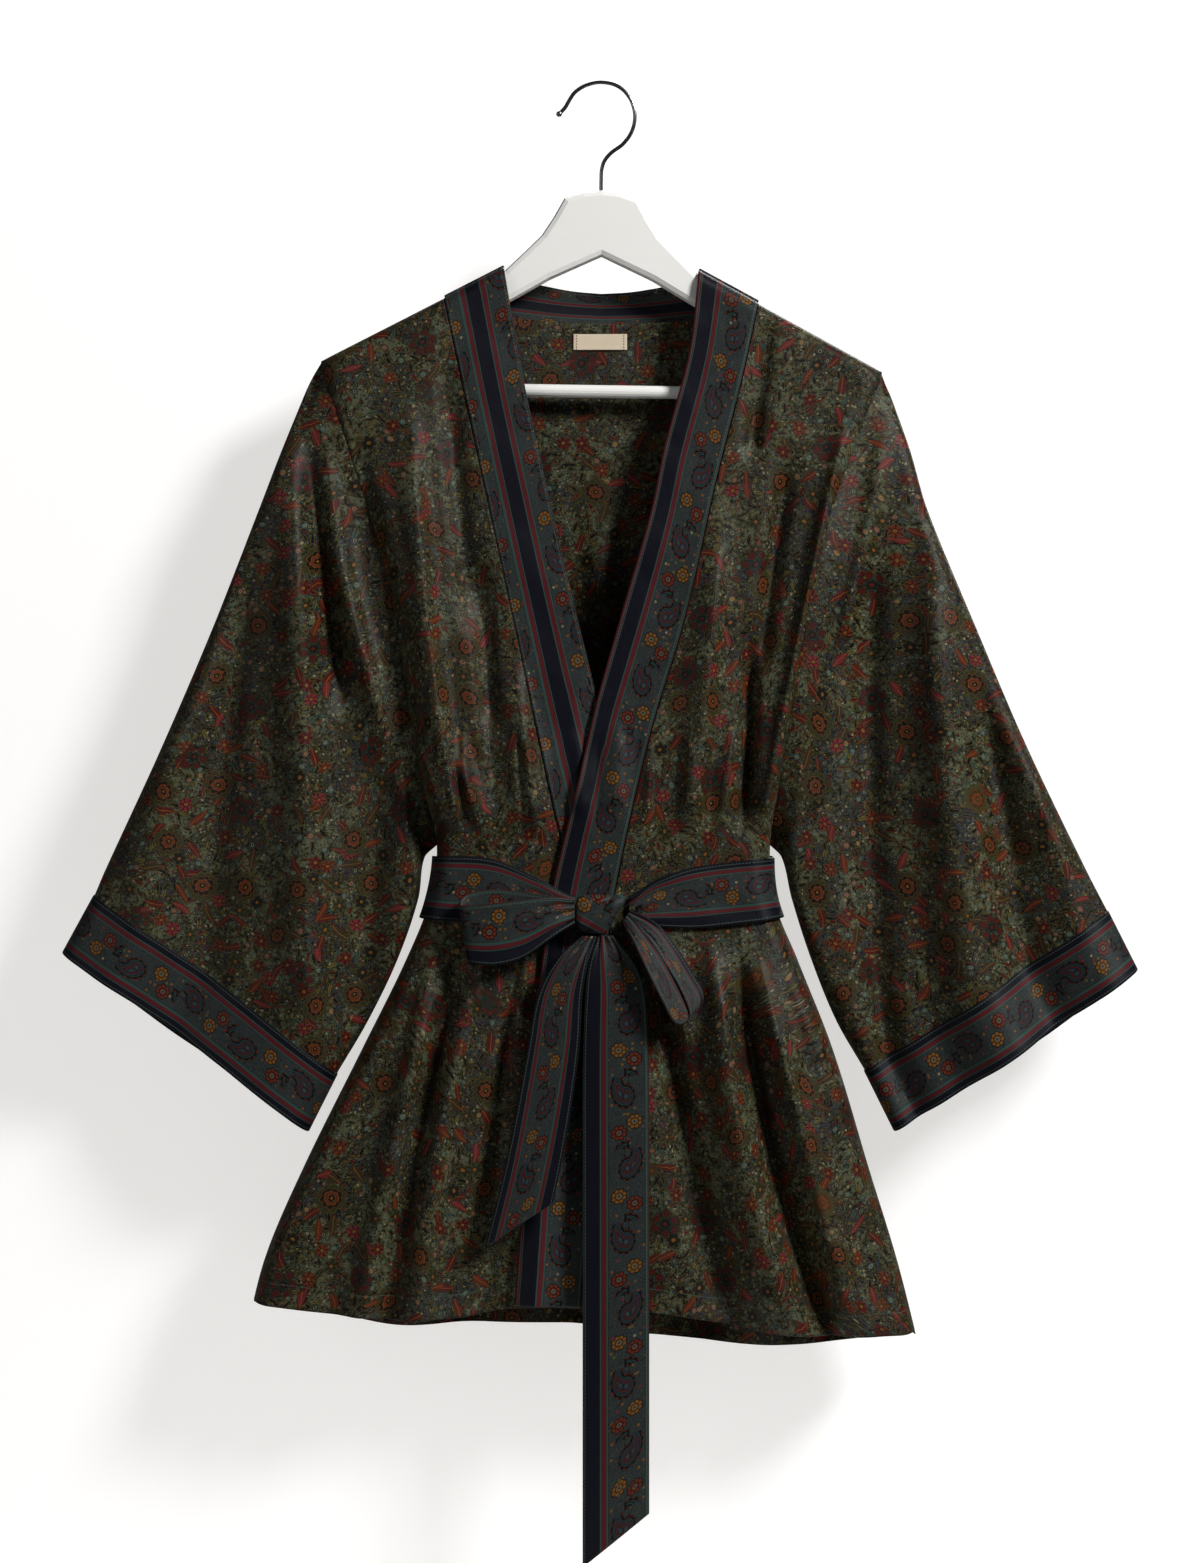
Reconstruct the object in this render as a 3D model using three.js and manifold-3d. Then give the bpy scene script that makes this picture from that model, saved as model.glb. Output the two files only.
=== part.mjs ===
// A short kimono robe with its belt tied in a bow, hanging on a clothes hanger.
// Millimetres: +X is the viewer's right, +Y is away from the viewer, +Z is up.
// The origin is the inner crest of the hanger's hook, the point that a rail or peg carries.
// "Left" and "right" in names are the viewer's, facing the front of the robe.
import * as THREE from 'three';
import { mergeVertices } from 'three/addons/utils/BufferGeometryUtils.js';
import Module from 'manifold-3d';

const wasm = await Module();
wasm.setup();

// Driving sizes
const CLOTH_WALL = 1.2; // one layer of the printed cloth
const BAND_WALL = 2.2; // the neckband and cuffs are folded double
const BAND_PROUD = 0.8; // the doubled band stands this far above the panel beside it
const BELT_WALL = 1.8;
const SEAM_GAP = 0.3;
const ARMHOLE_GAP = 0.8;
const NECK_GAP = 1; // the back's top edge stops this far below the doubled neckband
const LAYER = 5; // the under front lies this far behind the over front
const SIDE_ROLL = 16; // radius of the soft roll at the side seams and the armholes
const SHOULDER_ROLL = 9.5; // radius of the cloth over the hanger's arm
const SHOULDER_SLOPE = 0.53;
const NECK_HALF = 75; // half the width of the neck opening, on the shoulder line
const NECK_Z = -144.2; // the shoulder line at the neck
const HANGER_LEAN = 0.0157; // radians; the right arm hangs lower
const PIVOT_Z = -130; // the hanger leans about this height
const ROWS = 27; // rows of the panels and the front bands
const ROLL_SHARE = 3 / ROWS; // share of a panel's rows that goes round the hanger's arm
const BELT_LIFT = 2;
const BOW_FORWARD = 2.5;
const LABEL = { x: -1, z: -199.5, width: 42, height: 12.5, wall: 0.8 };

// Outline tables, x for a height z, from the shoulder tip down to the hem
const SEAM_LEFT = [
  { z: -222, x: -219 },
  { z: -246, x: -209 },
  { z: -309, x: -189 },
  { z: -371, x: -170 },
  { z: -435, x: -157 },
  { z: -493, x: -148.5 },
  { z: -545, x: -139 },
  { z: -593, x: -128.5 },
  { z: -636, x: -134 },
  { z: -683, x: -152.5 },
  { z: -753, x: -187 },
  { z: -847, x: -233.5 },
  { z: -917, x: -263 },
  { z: -990, x: -280 },
];
const SEAM_RIGHT = [
  { z: -228, x: 219 },
  { z: -246, x: 211 },
  { z: -309, x: 187 },
  { z: -371, x: 168 },
  { z: -435, x: 155.5 },
  { z: -493, x: 146 },
  { z: -545, x: 138 },
  { z: -593, x: 131.5 },
  { z: -636, x: 134.5 },
  { z: -683, x: 153 },
  { z: -753, x: 180.5 },
  { z: -847, x: 209 },
  { z: -917, x: 230.5 },
  { z: -990, x: 249 },
];
// The front edges: where each band is sewn to its front, and its free edge
const UNDER_SEAM = [
  { z: -169, x: -122.5 },
  { z: -248, x: -105.5 },
  { z: -371, x: -79 },
  { z: -459, x: -60 },
  { z: -583, x: -33 },
  { z: -621, x: -22 },
  { z: -714, x: -8 },
  { z: -980, x: 10 },
];
const UNDER_FREE = [
  { z: -144, x: -76 },
  { z: -234, x: -60 },
  { z: -316, x: -42 },
  { z: -395, x: -24 },
  { z: -476, x: -4 },
  { z: -560, x: 16 },
  { z: -621, x: 30 },
  { z: -714, x: 42 },
  { z: -980, x: 60 },
];
const OVER_SEAM = [
  { z: -170, x: 122.5 },
  { z: -230, x: 109.5 },
  { z: -309, x: 89.5 },
  { z: -418, x: 64.5 },
  { z: -503, x: 39 },
  { z: -592, x: 18 },
  { z: -652, x: 7 },
  { z: -753, x: -2 },
  { z: -980, x: -18 },
];
const OVER_FREE = [
  { z: -146, x: 75.5 },
  { z: -209, x: 68 },
  { z: -284, x: 48.5 },
  { z: -334, x: 38 },
  { z: -416, x: 14.5 },
  { z: -480, x: -3.5 },
  { z: -543, x: -18 },
  { z: -622, x: -37 },
  { z: -660, x: -43.5 },
  { z: -753, x: -53 },
  { z: -980, x: -69 },
];
// Hem heights across the width
const HEM_UNDER = [
  { x: -285, z: -945 },
  { x: -215, z: -953 },
  { x: -150, z: -958 },
  { x: -105, z: -956 },
  { x: -68, z: -949 },
  { x: 0, z: -951 },
  { x: 80, z: -955 },
];
const HEM_OVER = [
  { x: -80, z: -946 },
  { x: -28, z: -948 },
  { x: 36, z: -952 },
  { x: 82, z: -959 },
  { x: 131, z: -968 },
  { x: 194, z: -971 },
  { x: 260, z: -970 },
];
const HEM_BACK = [
  { x: -285, z: -946 },
  { x: -215, z: -963 },
  { x: -153, z: -972 },
  { x: -90, z: -970 },
  { x: -16, z: -972 },
  { x: 37, z: -979 },
  { x: 131, z: -988 },
  { x: 194, z: -984 },
  { x: 260, z: -972 },
];
// Depth of the front and of the back from the hanger's plane, down the middle of a panel
const DEPTH = [
  { z: -150, front: 11, back: 10 },
  { z: -230, front: 15, back: 13.5 },
  { z: -330, front: 21, back: 17 },
  { z: -450, front: 26, back: 20 },
  { z: -560, front: 29, back: 23 },
  { z: -597, front: 26.5, back: 20 },
  { z: -652, front: 26.5, back: 20 },
  { z: -700, front: 30, back: 24 },
  { z: -830, front: 34, back: 28 },
  { z: -990, front: 37, back: 31 },
];
// Depth at the armhole seam, which closes at the shoulder tip and at the underarm
const ARMHOLE_DEPTH = [
  { z: -226, y: 0.4 },
  { z: -236, y: 8.2 },
  { z: -262, y: 12.5 },
  { z: -330, y: 14 },
  { z: -400, y: 14 },
  { z: -480, y: 12.5 },
  { z: -550, y: 10 },
  { z: -580, y: 5.5 },
  { z: -593, y: 0.4 },
];
const UNDERARM_Z = -593;

// Columns of the back, from a side seam to the middle, close together where the neck opening ends
const BACK_COLUMNS = [0, 0.035, 0.075, 0.125, 0.185, 0.25, 0.32, 0.39, 0.4622, 0.471, 0.5, 0.575, 0.67, 0.78, 0.89, 1];

// Folds: a crest through three points, half widths at its ends, and how far it stands out.
// A negative height is a trough.
const FRONT_FOLDS = [
  { name: 'left chest fall', x0: -150, z0: -200, x1: -140, z1: -380, x2: -118, z2: -590, w0: 30, w1: 16, h: 4 },
  { name: 'left waist outer', x0: -132, z0: -430, x1: -114, z1: -543, x2: -97, z2: -640, w0: 18, w1: 12, h: 5.5 },
  { name: 'left waist inner', x0: -84, z0: -430, x1: -66, z1: -535, x2: -50, z2: -640, w0: 16, w1: 11, h: 4.5 },
  { name: 'left band hollow', x0: -128, z0: -185, x1: -112, z1: -290, x2: -92, z2: -430, w0: 16, w1: 12, h: -3 },
  { name: 'right band hollow', x0: 128, z0: -185, x1: 117, z1: -262, x2: 84, z2: -450, w0: 16, w1: 12, h: -5 },
  { name: 'right chest fall', x0: 112, z0: -300, x1: 77, z1: -441, x2: 54, z2: -640, w0: 18, w1: 14, h: 6 },
  { name: 'right chest trough', x0: 132, z0: -330, x1: 112, z1: -460, x2: 105, z2: -620, w0: 16, w1: 12, h: -6 },
  { name: 'right side fall', x0: 158, z0: -300, x1: 134, z1: -433, x2: 120, z2: -620, w0: 15, w1: 10, h: 4 },
  { name: 'left skirt outer', x0: -122, z0: -640, x1: -174, z1: -750, x2: -236, z2: -1010, w0: 12, w1: 30, h: 8 },
  { name: 'left skirt trough', x0: -108, z0: -640, x1: -146, z1: -760, x2: -190, z2: -1010, w0: 10, w1: 26, h: -6 },
  { name: 'left skirt middle', x0: -92, z0: -640, x1: -116, z1: -760, x2: -146, z2: -1010, w0: 11, w1: 28, h: 8 },
  { name: 'left skirt inner', x0: -66, z0: -640, x1: -82, z1: -770, x2: -100, z2: -1010, w0: 10, w1: 22, h: 6 },
  { name: 'right skirt inner', x0: 42, z0: -640, x1: 40, z1: -770, x2: 48, z2: -1010, w0: 12, w1: 24, h: 6 },
  { name: 'right skirt hollow', x0: 62, z0: -640, x1: 66, z1: -770, x2: 96, z2: -1010, w0: 12, w1: 32, h: -7 },
  { name: 'right skirt middle', x0: 80, z0: -640, x1: 94, z1: -785, x2: 158, z2: -1010, w0: 11, w1: 32, h: 10 },
  { name: 'right skirt outer', x0: 115, z0: -640, x1: 148, z1: -787, x2: 206, z2: -1010, w0: 10, w1: 26, h: 9 },
];
const BACK_FOLDS = [
  { name: 'left blade', x0: -130, z0: -215, x1: -118, z1: -380, x2: -98, z2: -630, w0: 30, w1: 15, h: 5 },
  { name: 'left spine', x0: -60, z0: -260, x1: -52, z1: -420, x2: -42, z2: -630, w0: 24, w1: 14, h: 4.5 },
  { name: 'spine trough', x0: -4, z0: -240, x1: 2, z1: -420, x2: 4, z2: -630, w0: 26, w1: 16, h: -3.5 },
  { name: 'right spine', x0: 56, z0: -250, x1: 54, z1: -430, x2: 46, z2: -630, w0: 24, w1: 14, h: 5 },
  { name: 'right blade', x0: 134, z0: -215, x1: 116, z1: -400, x2: 98, z2: -630, w0: 28, w1: 15, h: 4.5 },
  { name: 'left skirt outer', x0: -106, z0: -640, x1: -150, z1: -770, x2: -222, z2: -1010, w0: 14, w1: 36, h: 9 },
  { name: 'left skirt inner', x0: -62, z0: -640, x1: -86, z1: -780, x2: -118, z2: -1010, w0: 13, w1: 34, h: 10 },
  { name: 'left skirt trough', x0: -84, z0: -640, x1: -116, z1: -780, x2: -170, z2: -1010, w0: 10, w1: 26, h: -6 },
  { name: 'middle skirt', x0: -14, z0: -640, x1: -18, z1: -780, x2: -24, z2: -1010, w0: 13, w1: 34, h: 8 },
  { name: 'middle trough', x0: 12, z0: -640, x1: 18, z1: -780, x2: 24, z2: -1010, w0: 10, w1: 24, h: -5 },
  { name: 'right skirt inner', x0: 42, z0: -640, x1: 62, z1: -780, x2: 80, z2: -1010, w0: 13, w1: 34, h: 10 },
  { name: 'right skirt trough', x0: 70, z0: -640, x1: 96, z1: -780, x2: 128, z2: -1010, w0: 10, w1: 24, h: -6 },
  { name: 'right skirt outer', x0: 98, z0: -640, x1: 134, z1: -770, x2: 190, z2: -1010, w0: 13, w1: 34, h: 9 },
];
// A sleeve's outline and folds. Its outer edge runs from the shoulder tip to the cuff seam.
const SLEEVE_LEFT = {
  side: -1,
  tip: -226,
  cuffOuter: { x: -395, z: -632 },
  cuffInner: { x: -206, z: -771 },
  outer: [
    { z: -226, x: -223.5 },
    { z: -238, x: -231 },
    { z: -285, x: -250 },
    { z: -332, x: -268 },
    { z: -426, x: -304.5 },
    { z: -519, x: -344 },
    { z: -613, x: -387 },
    { z: -632, x: -395 },
  ],
  inner: [
    { z: -593, x: -128.5 },
    { z: -603, x: -138.5 },
    { z: -636, x: -143.5 },
    { z: -683, x: -159.5 },
    { z: -730, x: -182 },
    { z: -771, x: -206 },
  ],
  cuffBow: 4,
  cuffRun: { outerX: -25, outerZ: -45.7, innerX: -23, innerZ: -45.6 },
  frontFolds: [
    { name: 'shoulder fall', x0: -213, z0: -236, x1: -197, z1: -395, x2: -152, z2: -560, w0: 13, w1: 15, h: 9 },
    { name: 'long fall', x0: -246, z0: -255, x1: -252, z1: -470, x2: -262, z2: -800, w0: 15, w1: 42, h: 13 },
    { name: 'outer fall', x0: -290, z0: -420, x1: -335, z1: -540, x2: -372, z2: -760, w0: 16, w1: 30, h: 6 },
    { name: 'inner trough', x0: -185, z0: -480, x1: -200, z1: -600, x2: -212, z2: -800, w0: 18, w1: 24, h: -4 },
  ],
  backFolds: [
    { name: 'shoulder fall', x0: -216, z0: -240, x1: -202, z1: -410, x2: -160, z2: -580, w0: 16, w1: 18, h: 8 },
    { name: 'long fall', x0: -250, z0: -290, x1: -262, z1: -500, x2: -280, z2: -800, w0: 18, w1: 40, h: 10 },
    { name: 'inner fall', x0: -196, z0: -540, x1: -212, z1: -640, x2: -232, z2: -800, w0: 16, w1: 24, h: 5 },
  ],
};
const SLEEVE_RIGHT = {
  side: 1,
  tip: -231,
  cuffOuter: { x: 394, z: -644 },
  cuffInner: { x: 205, z: -768.5 },
  outer: [
    { z: -231, x: 223.5 },
    { z: -246, x: 228.5 },
    { z: -285, x: 241.5 },
    { z: -332, x: 255 },
    { z: -426, x: 293.5 },
    { z: -519, x: 333 },
    { z: -613, x: 378 },
    { z: -644, x: 394 },
  ],
  inner: [
    { z: -593, x: 131.5 },
    { z: -603, x: 141 },
    { z: -636, x: 149 },
    { z: -683, x: 164 },
    { z: -730, x: 183 },
    { z: -768.5, x: 205 },
  ],
  cuffBow: -1,
  cuffRun: { outerX: 23.7, outerZ: -46.9, innerX: 23.9, innerZ: -48 },
  frontFolds: [
    { name: 'shoulder fall', x0: 216, z0: -242, x1: 196, z1: -365, x2: 162, z2: -520, w0: 12, w1: 13, h: 8 },
    { name: 'valley', x0: 226, z0: -330, x1: 214, z1: -480, x2: 200, z2: -720, w0: 16, w1: 26, h: -5 },
    { name: 'long fall', x0: 244, z0: -330, x1: 254, z1: -540, x2: 292, z2: -810, w0: 18, w1: 46, h: 14 },
    { name: 'outer fall', x0: 300, z0: -470, x1: 338, z1: -560, x2: 372, z2: -760, w0: 16, w1: 26, h: 5 },
  ],
  backFolds: [
    { name: 'shoulder fall', x0: 218, z0: -244, x1: 200, z1: -410, x2: 162, z2: -590, w0: 16, w1: 18, h: 8 },
    { name: 'long fall', x0: 248, z0: -300, x1: 262, z1: -520, x2: 290, z2: -800, w0: 18, w1: 42, h: 11 },
    { name: 'inner fall', x0: 198, z0: -540, x1: 214, z1: -650, x2: 230, z2: -800, w0: 16, w1: 24, h: 5 },
  ],
};
const SLEEVE_DEPTH = { front: 17, back: 16 };
const CUFF_WIDTH = 51; // the border strip, along the sleeve
const CUFF_BACK_DROP = 5; // the cuff's back edge hangs this far below its front edge

// The belt's top and bottom edges across the front, pinched in at the knot
const BELT_EDGES = [
  { x: -140, top: -602, bottom: -651 },
  { x: -87, top: -603, bottom: -653 },
  { x: -50, top: -618, bottom: -655 },
  { x: -20, top: -634, bottom: -653 },
  { x: 20, top: -634, bottom: -653 },
  { x: 42, top: -620, bottom: -656 },
  { x: 77, top: -609, bottom: -657 },
  { x: 140, top: -602, bottom: -650.5 },
];
// Columns of the belt, from the middle to a side, close together where it rolls round
const BELT_COLUMNS = [0, 0.14, 0.28, 0.42, 0.56, 0.7, 0.82, 0.87, 0.91, 0.955, 1];
const KNOT = { halfTop: 20, halfBottom: 15, top: -631, bottom: -662, rear: 32.9, front: 49.5, lean: -2 };

// Ribbons of the bow and the two tails: a section at each row, edge a and edge b
const LOOP_LEFT = [
  { ax: -20.6, ay: -43, az: -634, bx: -20.6, by: -42, bz: -653 },
  { ax: -38, ay: -49, az: -632.5, bx: -38, by: -47, bz: -664 },
  { ax: -60, ay: -53, az: -634.5, bx: -60, by: -50, bz: -679 },
  { ax: -82, ay: -54, az: -637, bx: -80, by: -52, bz: -684.5 },
  { ax: -101, ay: -51, az: -639, bx: -96, by: -51, bz: -684 },
  { ax: -109, ay: -45, az: -638, bx: -102, by: -45.5, bz: -682 },
  { ax: -104, ay: -38, az: -631, bx: -98, by: -39.5, bz: -676 },
  { ax: -84, ay: -35.5, az: -627, bx: -80, by: -36.5, bz: -668 },
  { ax: -56, ay: -35, az: -629.5, bx: -54, by: -35.5, bz: -662 },
  { ax: -34, ay: -35.5, az: -632.5, bx: -34, by: -35.5, bz: -656 },
  { ax: -20.6, ay: -36, az: -635, bx: -20.6, by: -36, bz: -652 },
];
const LOOP_RIGHT = [
  { ax: 16.4, ay: -42.5, az: -653, bx: 20, by: -38.5, bz: -645 },
  { ax: 25, ay: -58, az: -668, bx: 32, by: -42, bz: -657 },
  { ax: 35, ay: -66, az: -689, bx: 48, by: -46, bz: -676 },
  { ax: 46, ay: -69, az: -711, bx: 60, by: -48, bz: -698 },
  { ax: 54, ay: -68, az: -726, bx: 69, by: -49, bz: -714 },
  { ax: 61, ay: -63, az: -729, bx: 76, by: -46, bz: -716 },
  { ax: 67, ay: -58, az: -722, bx: 78, by: -43, bz: -706 },
  { ax: 60, ay: -54, az: -703, bx: 70, by: -41, bz: -692 },
  { ax: 48, ay: -51, az: -683, bx: 57, by: -40, bz: -671 },
  { ax: 35, ay: -46, az: -664, bx: 42, by: -38.5, bz: -653 },
  { ax: 19.5, ay: -40, az: -651.5, bx: 20.7, by: -35.5, bz: -643 },
];
const TAIL_LEFT = [
  { ax: -15, ay: -40.5, az: -662.75, bx: -4, by: -41, bz: -662.75 },
  { ax: -34, ay: -47, az: -680, bx: -10, by: -49, bz: -682 },
  { ax: -49, ay: -48, az: -708, bx: -14.5, by: -52, bz: -708 },
  { ax: -57, ay: -49, az: -750, bx: -16.5, by: -54, bz: -745 },
  { ax: -66, ay: -51, az: -800, bx: -22, by: -55, bz: -787 },
  { ax: -76, ay: -53, az: -848, bx: -29, by: -56, bz: -828 },
  { ax: -89, ay: -54, az: -900, bx: -37, by: -57, bz: -866 },
];
const TAIL_RIGHT = [
  { ax: -3, ay: -38.5, az: -662.6, bx: 8, by: -38.5, bz: -662.6 },
  { ax: -9.5, ay: -44, az: -682, bx: 23, by: -45, bz: -680 },
  { ax: -12.5, ay: -47, az: -706, bx: 33, by: -48, bz: -704 },
  { ax: -14.5, ay: -48.5, az: -760, bx: 36, by: -50.5, bz: -756 },
  { ax: -14.5, ay: -50.5, az: -850, bx: 36.5, by: -53, bz: -840 },
  { ax: -14.5, ay: -53, az: -950, bx: 36.5, by: -55, bz: -935 },
  { ax: -14.5, ay: -53, az: -1050, bx: 36.5, by: -54.5, bz: -1022 },
  { ax: -14.5, ay: -52, az: -1145.5, bx: 36.5, by: -53, bz: -1104 },
];
// The neckband behind the neck: its sewn edge and its free edge, from the left shoulder
const NECK_SEWN = [
  { x: -122.5, y: 0.2, z: -167.6 },
  { x: -120.5, y: 9.4, z: -170.8 },
  { x: -114, y: 12, z: -176 },
  { x: -95, y: 13.8, z: -181.5 },
  { x: -68, y: 15, z: -184.5 },
  { x: -34, y: 16, z: -187 },
  { x: 0, y: 16.4, z: -188 },
];
const NECK_FREE = [
  { x: -76, y: 0.2, z: -143.2 },
  { x: -75.5, y: 9, z: -146 },
  { x: -72, y: 12.2, z: -149.5 },
  { x: -62, y: 14.4, z: -152.5 },
  { x: -44, y: 16.8, z: -156 },
  { x: -22, y: 18.3, z: -159.5 },
  { x: 0, y: 19, z: -161 },
];

const HANGER = {
  thick: 13,
  edge: 5.4, // rounding of the arm's edges
  armDrop: 27, // the arm's height at the neck
  tipDrop: 24, // the arm's height near its end
  crownZ: -82.8,
  crownHalf: 29.5,
  shoulderZ: -89.5, // the crown's corners
  apexZ: -134.8,
  topGap: 2.5, // the arm's top edge lies this far under the cloth's shoulder line
  barZ: -239.7,
  barRadius: 5,
  barHalf: 203,
  socketDepth: 13,
  socketRadius: 5.3,
};
const HOOK = { radius: 27, wire: 1.5, bore: 1.8, depth: 11.5, centreX: -0.5, centreZ: -25.5, ball: 2.3 };

// Small maths
const clamp = (value, low, high) => Math.min(high, Math.max(low, value));
const mix = (a, b, t) => a + (b - a) * t;
const ease = (low, high, value) => {
  const t = clamp((value - low) / (high - low), 0, 1);
  return t * t * (3 - 2 * t);
};

/** Reads a column of a table at a place on another column, as a smooth curve through the rows. */
function along(rows, by, column, place) {
  const rising = rows[rows.length - 1][by] > rows[0][by];
  const at = (i) => rows[clamp(i, 0, rows.length - 1)];
  let i = 0;
  while (i < rows.length - 2 && (rising ? place > rows[i + 1][by] : place < rows[i + 1][by])) {
    i += 1;
  }
  const slope = (k) => (at(k + 1)[column] - at(k - 1)[column]) / (at(k + 1)[by] - at(k - 1)[by]);
  const step = at(i + 1)[by] - at(i)[by];
  const t = clamp((place - at(i)[by]) / step, 0, 1);
  const near = (1 + 2 * t) * (1 - t) * (1 - t) * at(i)[column];
  const far = t * t * (3 - 2 * t) * at(i + 1)[column];
  const bend = step * t * (1 - t) * ((1 - t) * slope(i) - t * slope(i + 1));
  return near + far + bend;
}

/** Height of the folds at a place: each is a soft bump across its crest line. */
function foldHeight(folds, x, z) {
  let total = 0;
  for (const f of folds) {
    const t = (f.z0 - z) / (f.z0 - f.z2);
    if (t <= 0 || t >= 1) continue;
    const tMid = (f.z0 - f.z1) / (f.z0 - f.z2);
    const bend = (f.x1 - mix(f.x0, f.x2, tMid)) / (tMid * (1 - tMid));
    const crest = mix(f.x0, f.x2, t) + bend * t * (1 - t);
    const across = Math.abs(x - crest) / mix(f.w0, f.w1, t);
    if (across >= 1.6) continue;
    const rise = ease(0, 0.3, t) * ease(0, 0.2, 1 - t);
    total += f.h * rise * Math.exp(-1.8 * across * across);
  }
  return total;
}

/** The shoulder line of the cloth over the leaning hanger. */
function shoulderZ(x) {
  const sign = x < 0 ? -1 : 1;
  const level = NECK_Z - SHOULDER_SLOPE * (sign * (x + PIVOT_Z * HANGER_LEAN) - NECK_HALF);
  return (level - HANGER_LEAN * x) / (1 - sign * SHOULDER_SLOPE * HANGER_LEAN);
}

/** Folds are pressed flat by the belt and open out above and below it. */
const beltEase = (z) => 1 - ease(-556, -590, z) * ease(-694, -662, z);

/** How far the front stands from the hanger's plane, before its edges roll in. */
function frontDepth(x, z) {
  const halfWidth = Math.abs(along(x < 0 ? SEAM_LEFT : SEAM_RIGHT, 'z', 'x', z));
  const belly = 5 * ease(-450, -700, z) * (1 - clamp(x / halfWidth, -1, 1) ** 2);
  return along(DEPTH, 'z', 'front', z) + belly + beltEase(z) * foldHeight(FRONT_FOLDS, x, z);
}
function backDepth(x, z) {
  return along(DEPTH, 'z', 'back', z) + beltEase(z) * foldHeight(BACK_FOLDS, x, z);
}

/** Share of the depth at a distance below the shoulder line, where the cloth rounds over the arm. */
const shoulderShare = (drop) => Math.sqrt(1 - (1 - clamp(drop / SHOULDER_ROLL, 0, 1)) ** 2);

/** Where a row lies below the shoulder line: the first rows go round the arm, the rest hang. */
function rowDrop(v, height, rollShare) {
  if (v < rollShare) {
    return SHOULDER_ROLL * (1 - Math.cos((v / rollShare) * (Math.PI / 2)));
  }
  return mix(SHOULDER_ROLL, height, (v - rollShare) / (1 - rollShare));
}

/**
 * Places a point across a panel whose outer edge rolls in to a seam.
 * way is the share of the unrolled width from the seam, sign is -1 for a seam on the left.
 */
function rollIn(way, seamX, innerX, sign, seamDepth, fullDepth) {
  const start = Math.asin(clamp(seamDepth / fullDepth, 0, 0.95));
  const arc = SIDE_ROLL * (Math.PI / 2 - start);
  const flat = Math.abs(innerX - seamX) - SIDE_ROLL * Math.cos(start);
  const run = way * (arc + flat);
  if (run < arc) {
    const angle = start + run / SIDE_ROLL;
    return {
      x: seamX - sign * SIDE_ROLL * (Math.cos(start) - Math.cos(angle)),
      share: Math.sin(angle),
    };
  }
  return { x: seamX - sign * (SIDE_ROLL * Math.cos(start) + run - arc), share: 1 };
}

/** Depth of the seam at a height: open at the armhole, closed below the underarm. */
const seamDepthAt = (z) => (z > UNDERARM_Z ? along(ARMHOLE_DEPTH, 'z', 'y', z) : 0.4);

/** The under front goes behind the over front past the over front's free edge. */
const underGap = (x, z) => LAYER * ease(-16, -1, x - along(OVER_FREE, 'z', 'x', z)) * ease(-400, -480, z);

/** A front panel from its side to its band. side is -1 for the left one, which lies under. */
function frontPanel(u, v, side) {
  const seams = side < 0 ? SEAM_LEFT : SEAM_RIGHT;
  const inner = side < 0 ? UNDER_SEAM : OVER_SEAM;
  const hem = side < 0 ? HEM_UNDER : HEM_OVER;
  const way = side < 0 ? u : 1 - u;
  let x = side * mix(220, 122, way);
  let z = shoulderZ(x);
  let share = 1;
  for (let pass = 0; pass < 6; pass += 1) {
    const top = shoulderZ(x);
    const drop = rowDrop(v, top - along(hem, 'x', 'z', x), ROLL_SHARE);
    z = top - drop;
    const innerX = along(inner, 'z', 'x', z) + side * SEAM_GAP;
    const placed = rollIn(way, along(seams, 'z', 'x', z), innerX, side, seamDepthAt(z), frontDepth(x, z));
    x = placed.x;
    share = placed.share;
  }
  const closing = Math.max(shoulderShare(shoulderZ(x) - z), 0.02);
  let depth = frontDepth(x, z) * share * closing;
  if (side < 0) {
    depth -= underGap(x, z);
  }
  return new THREE.Vector3(x, -Math.max(depth, SEAM_GAP / 2), z);
}

/** A front band from its sewn edge to its free edge. */
function frontBand(u, v, side) {
  const sewn = side < 0 ? UNDER_SEAM : OVER_SEAM;
  const free = side < 0 ? UNDER_FREE : OVER_FREE;
  const hem = side < 0 ? HEM_UNDER : HEM_OVER;
  const way = side < 0 ? u : 1 - u;
  let x = side * mix(122, 76, way);
  let z = shoulderZ(x);
  for (let pass = 0; pass < 6; pass += 1) {
    const top = shoulderZ(x);
    z = top - rowDrop(v, top - along(hem, 'x', 'z', x), ROLL_SHARE);
    x = mix(along(sewn, 'z', 'x', z) - side * SEAM_GAP, along(free, 'z', 'x', z), way);
  }
  const closing = Math.max(shoulderShare(shoulderZ(x) - z), 0.02);
  let depth = frontDepth(x, z) * closing;
  if (side < 0) {
    depth -= underGap(x, z);
  }
  return new THREE.Vector3(x, -Math.max(depth, SEAM_GAP / 2), z);
}

/** The top of the back panel: the shoulder line, and the sewn edge of the neckband between. */
function backTop(x) {
  const reach = Math.abs(x);
  if (reach >= -NECK_SEWN[0].x) return shoulderZ(x);
  const neck = along(NECK_SEWN, 'x', 'z', -Math.max(reach - 0.7, 0)) - HANGER_LEAN * x;
  return mix(shoulderZ(x), neck, ease(122.5, 120.8, reach)) - NECK_GAP * ease(122.5, 120.6, reach);
}

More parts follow.
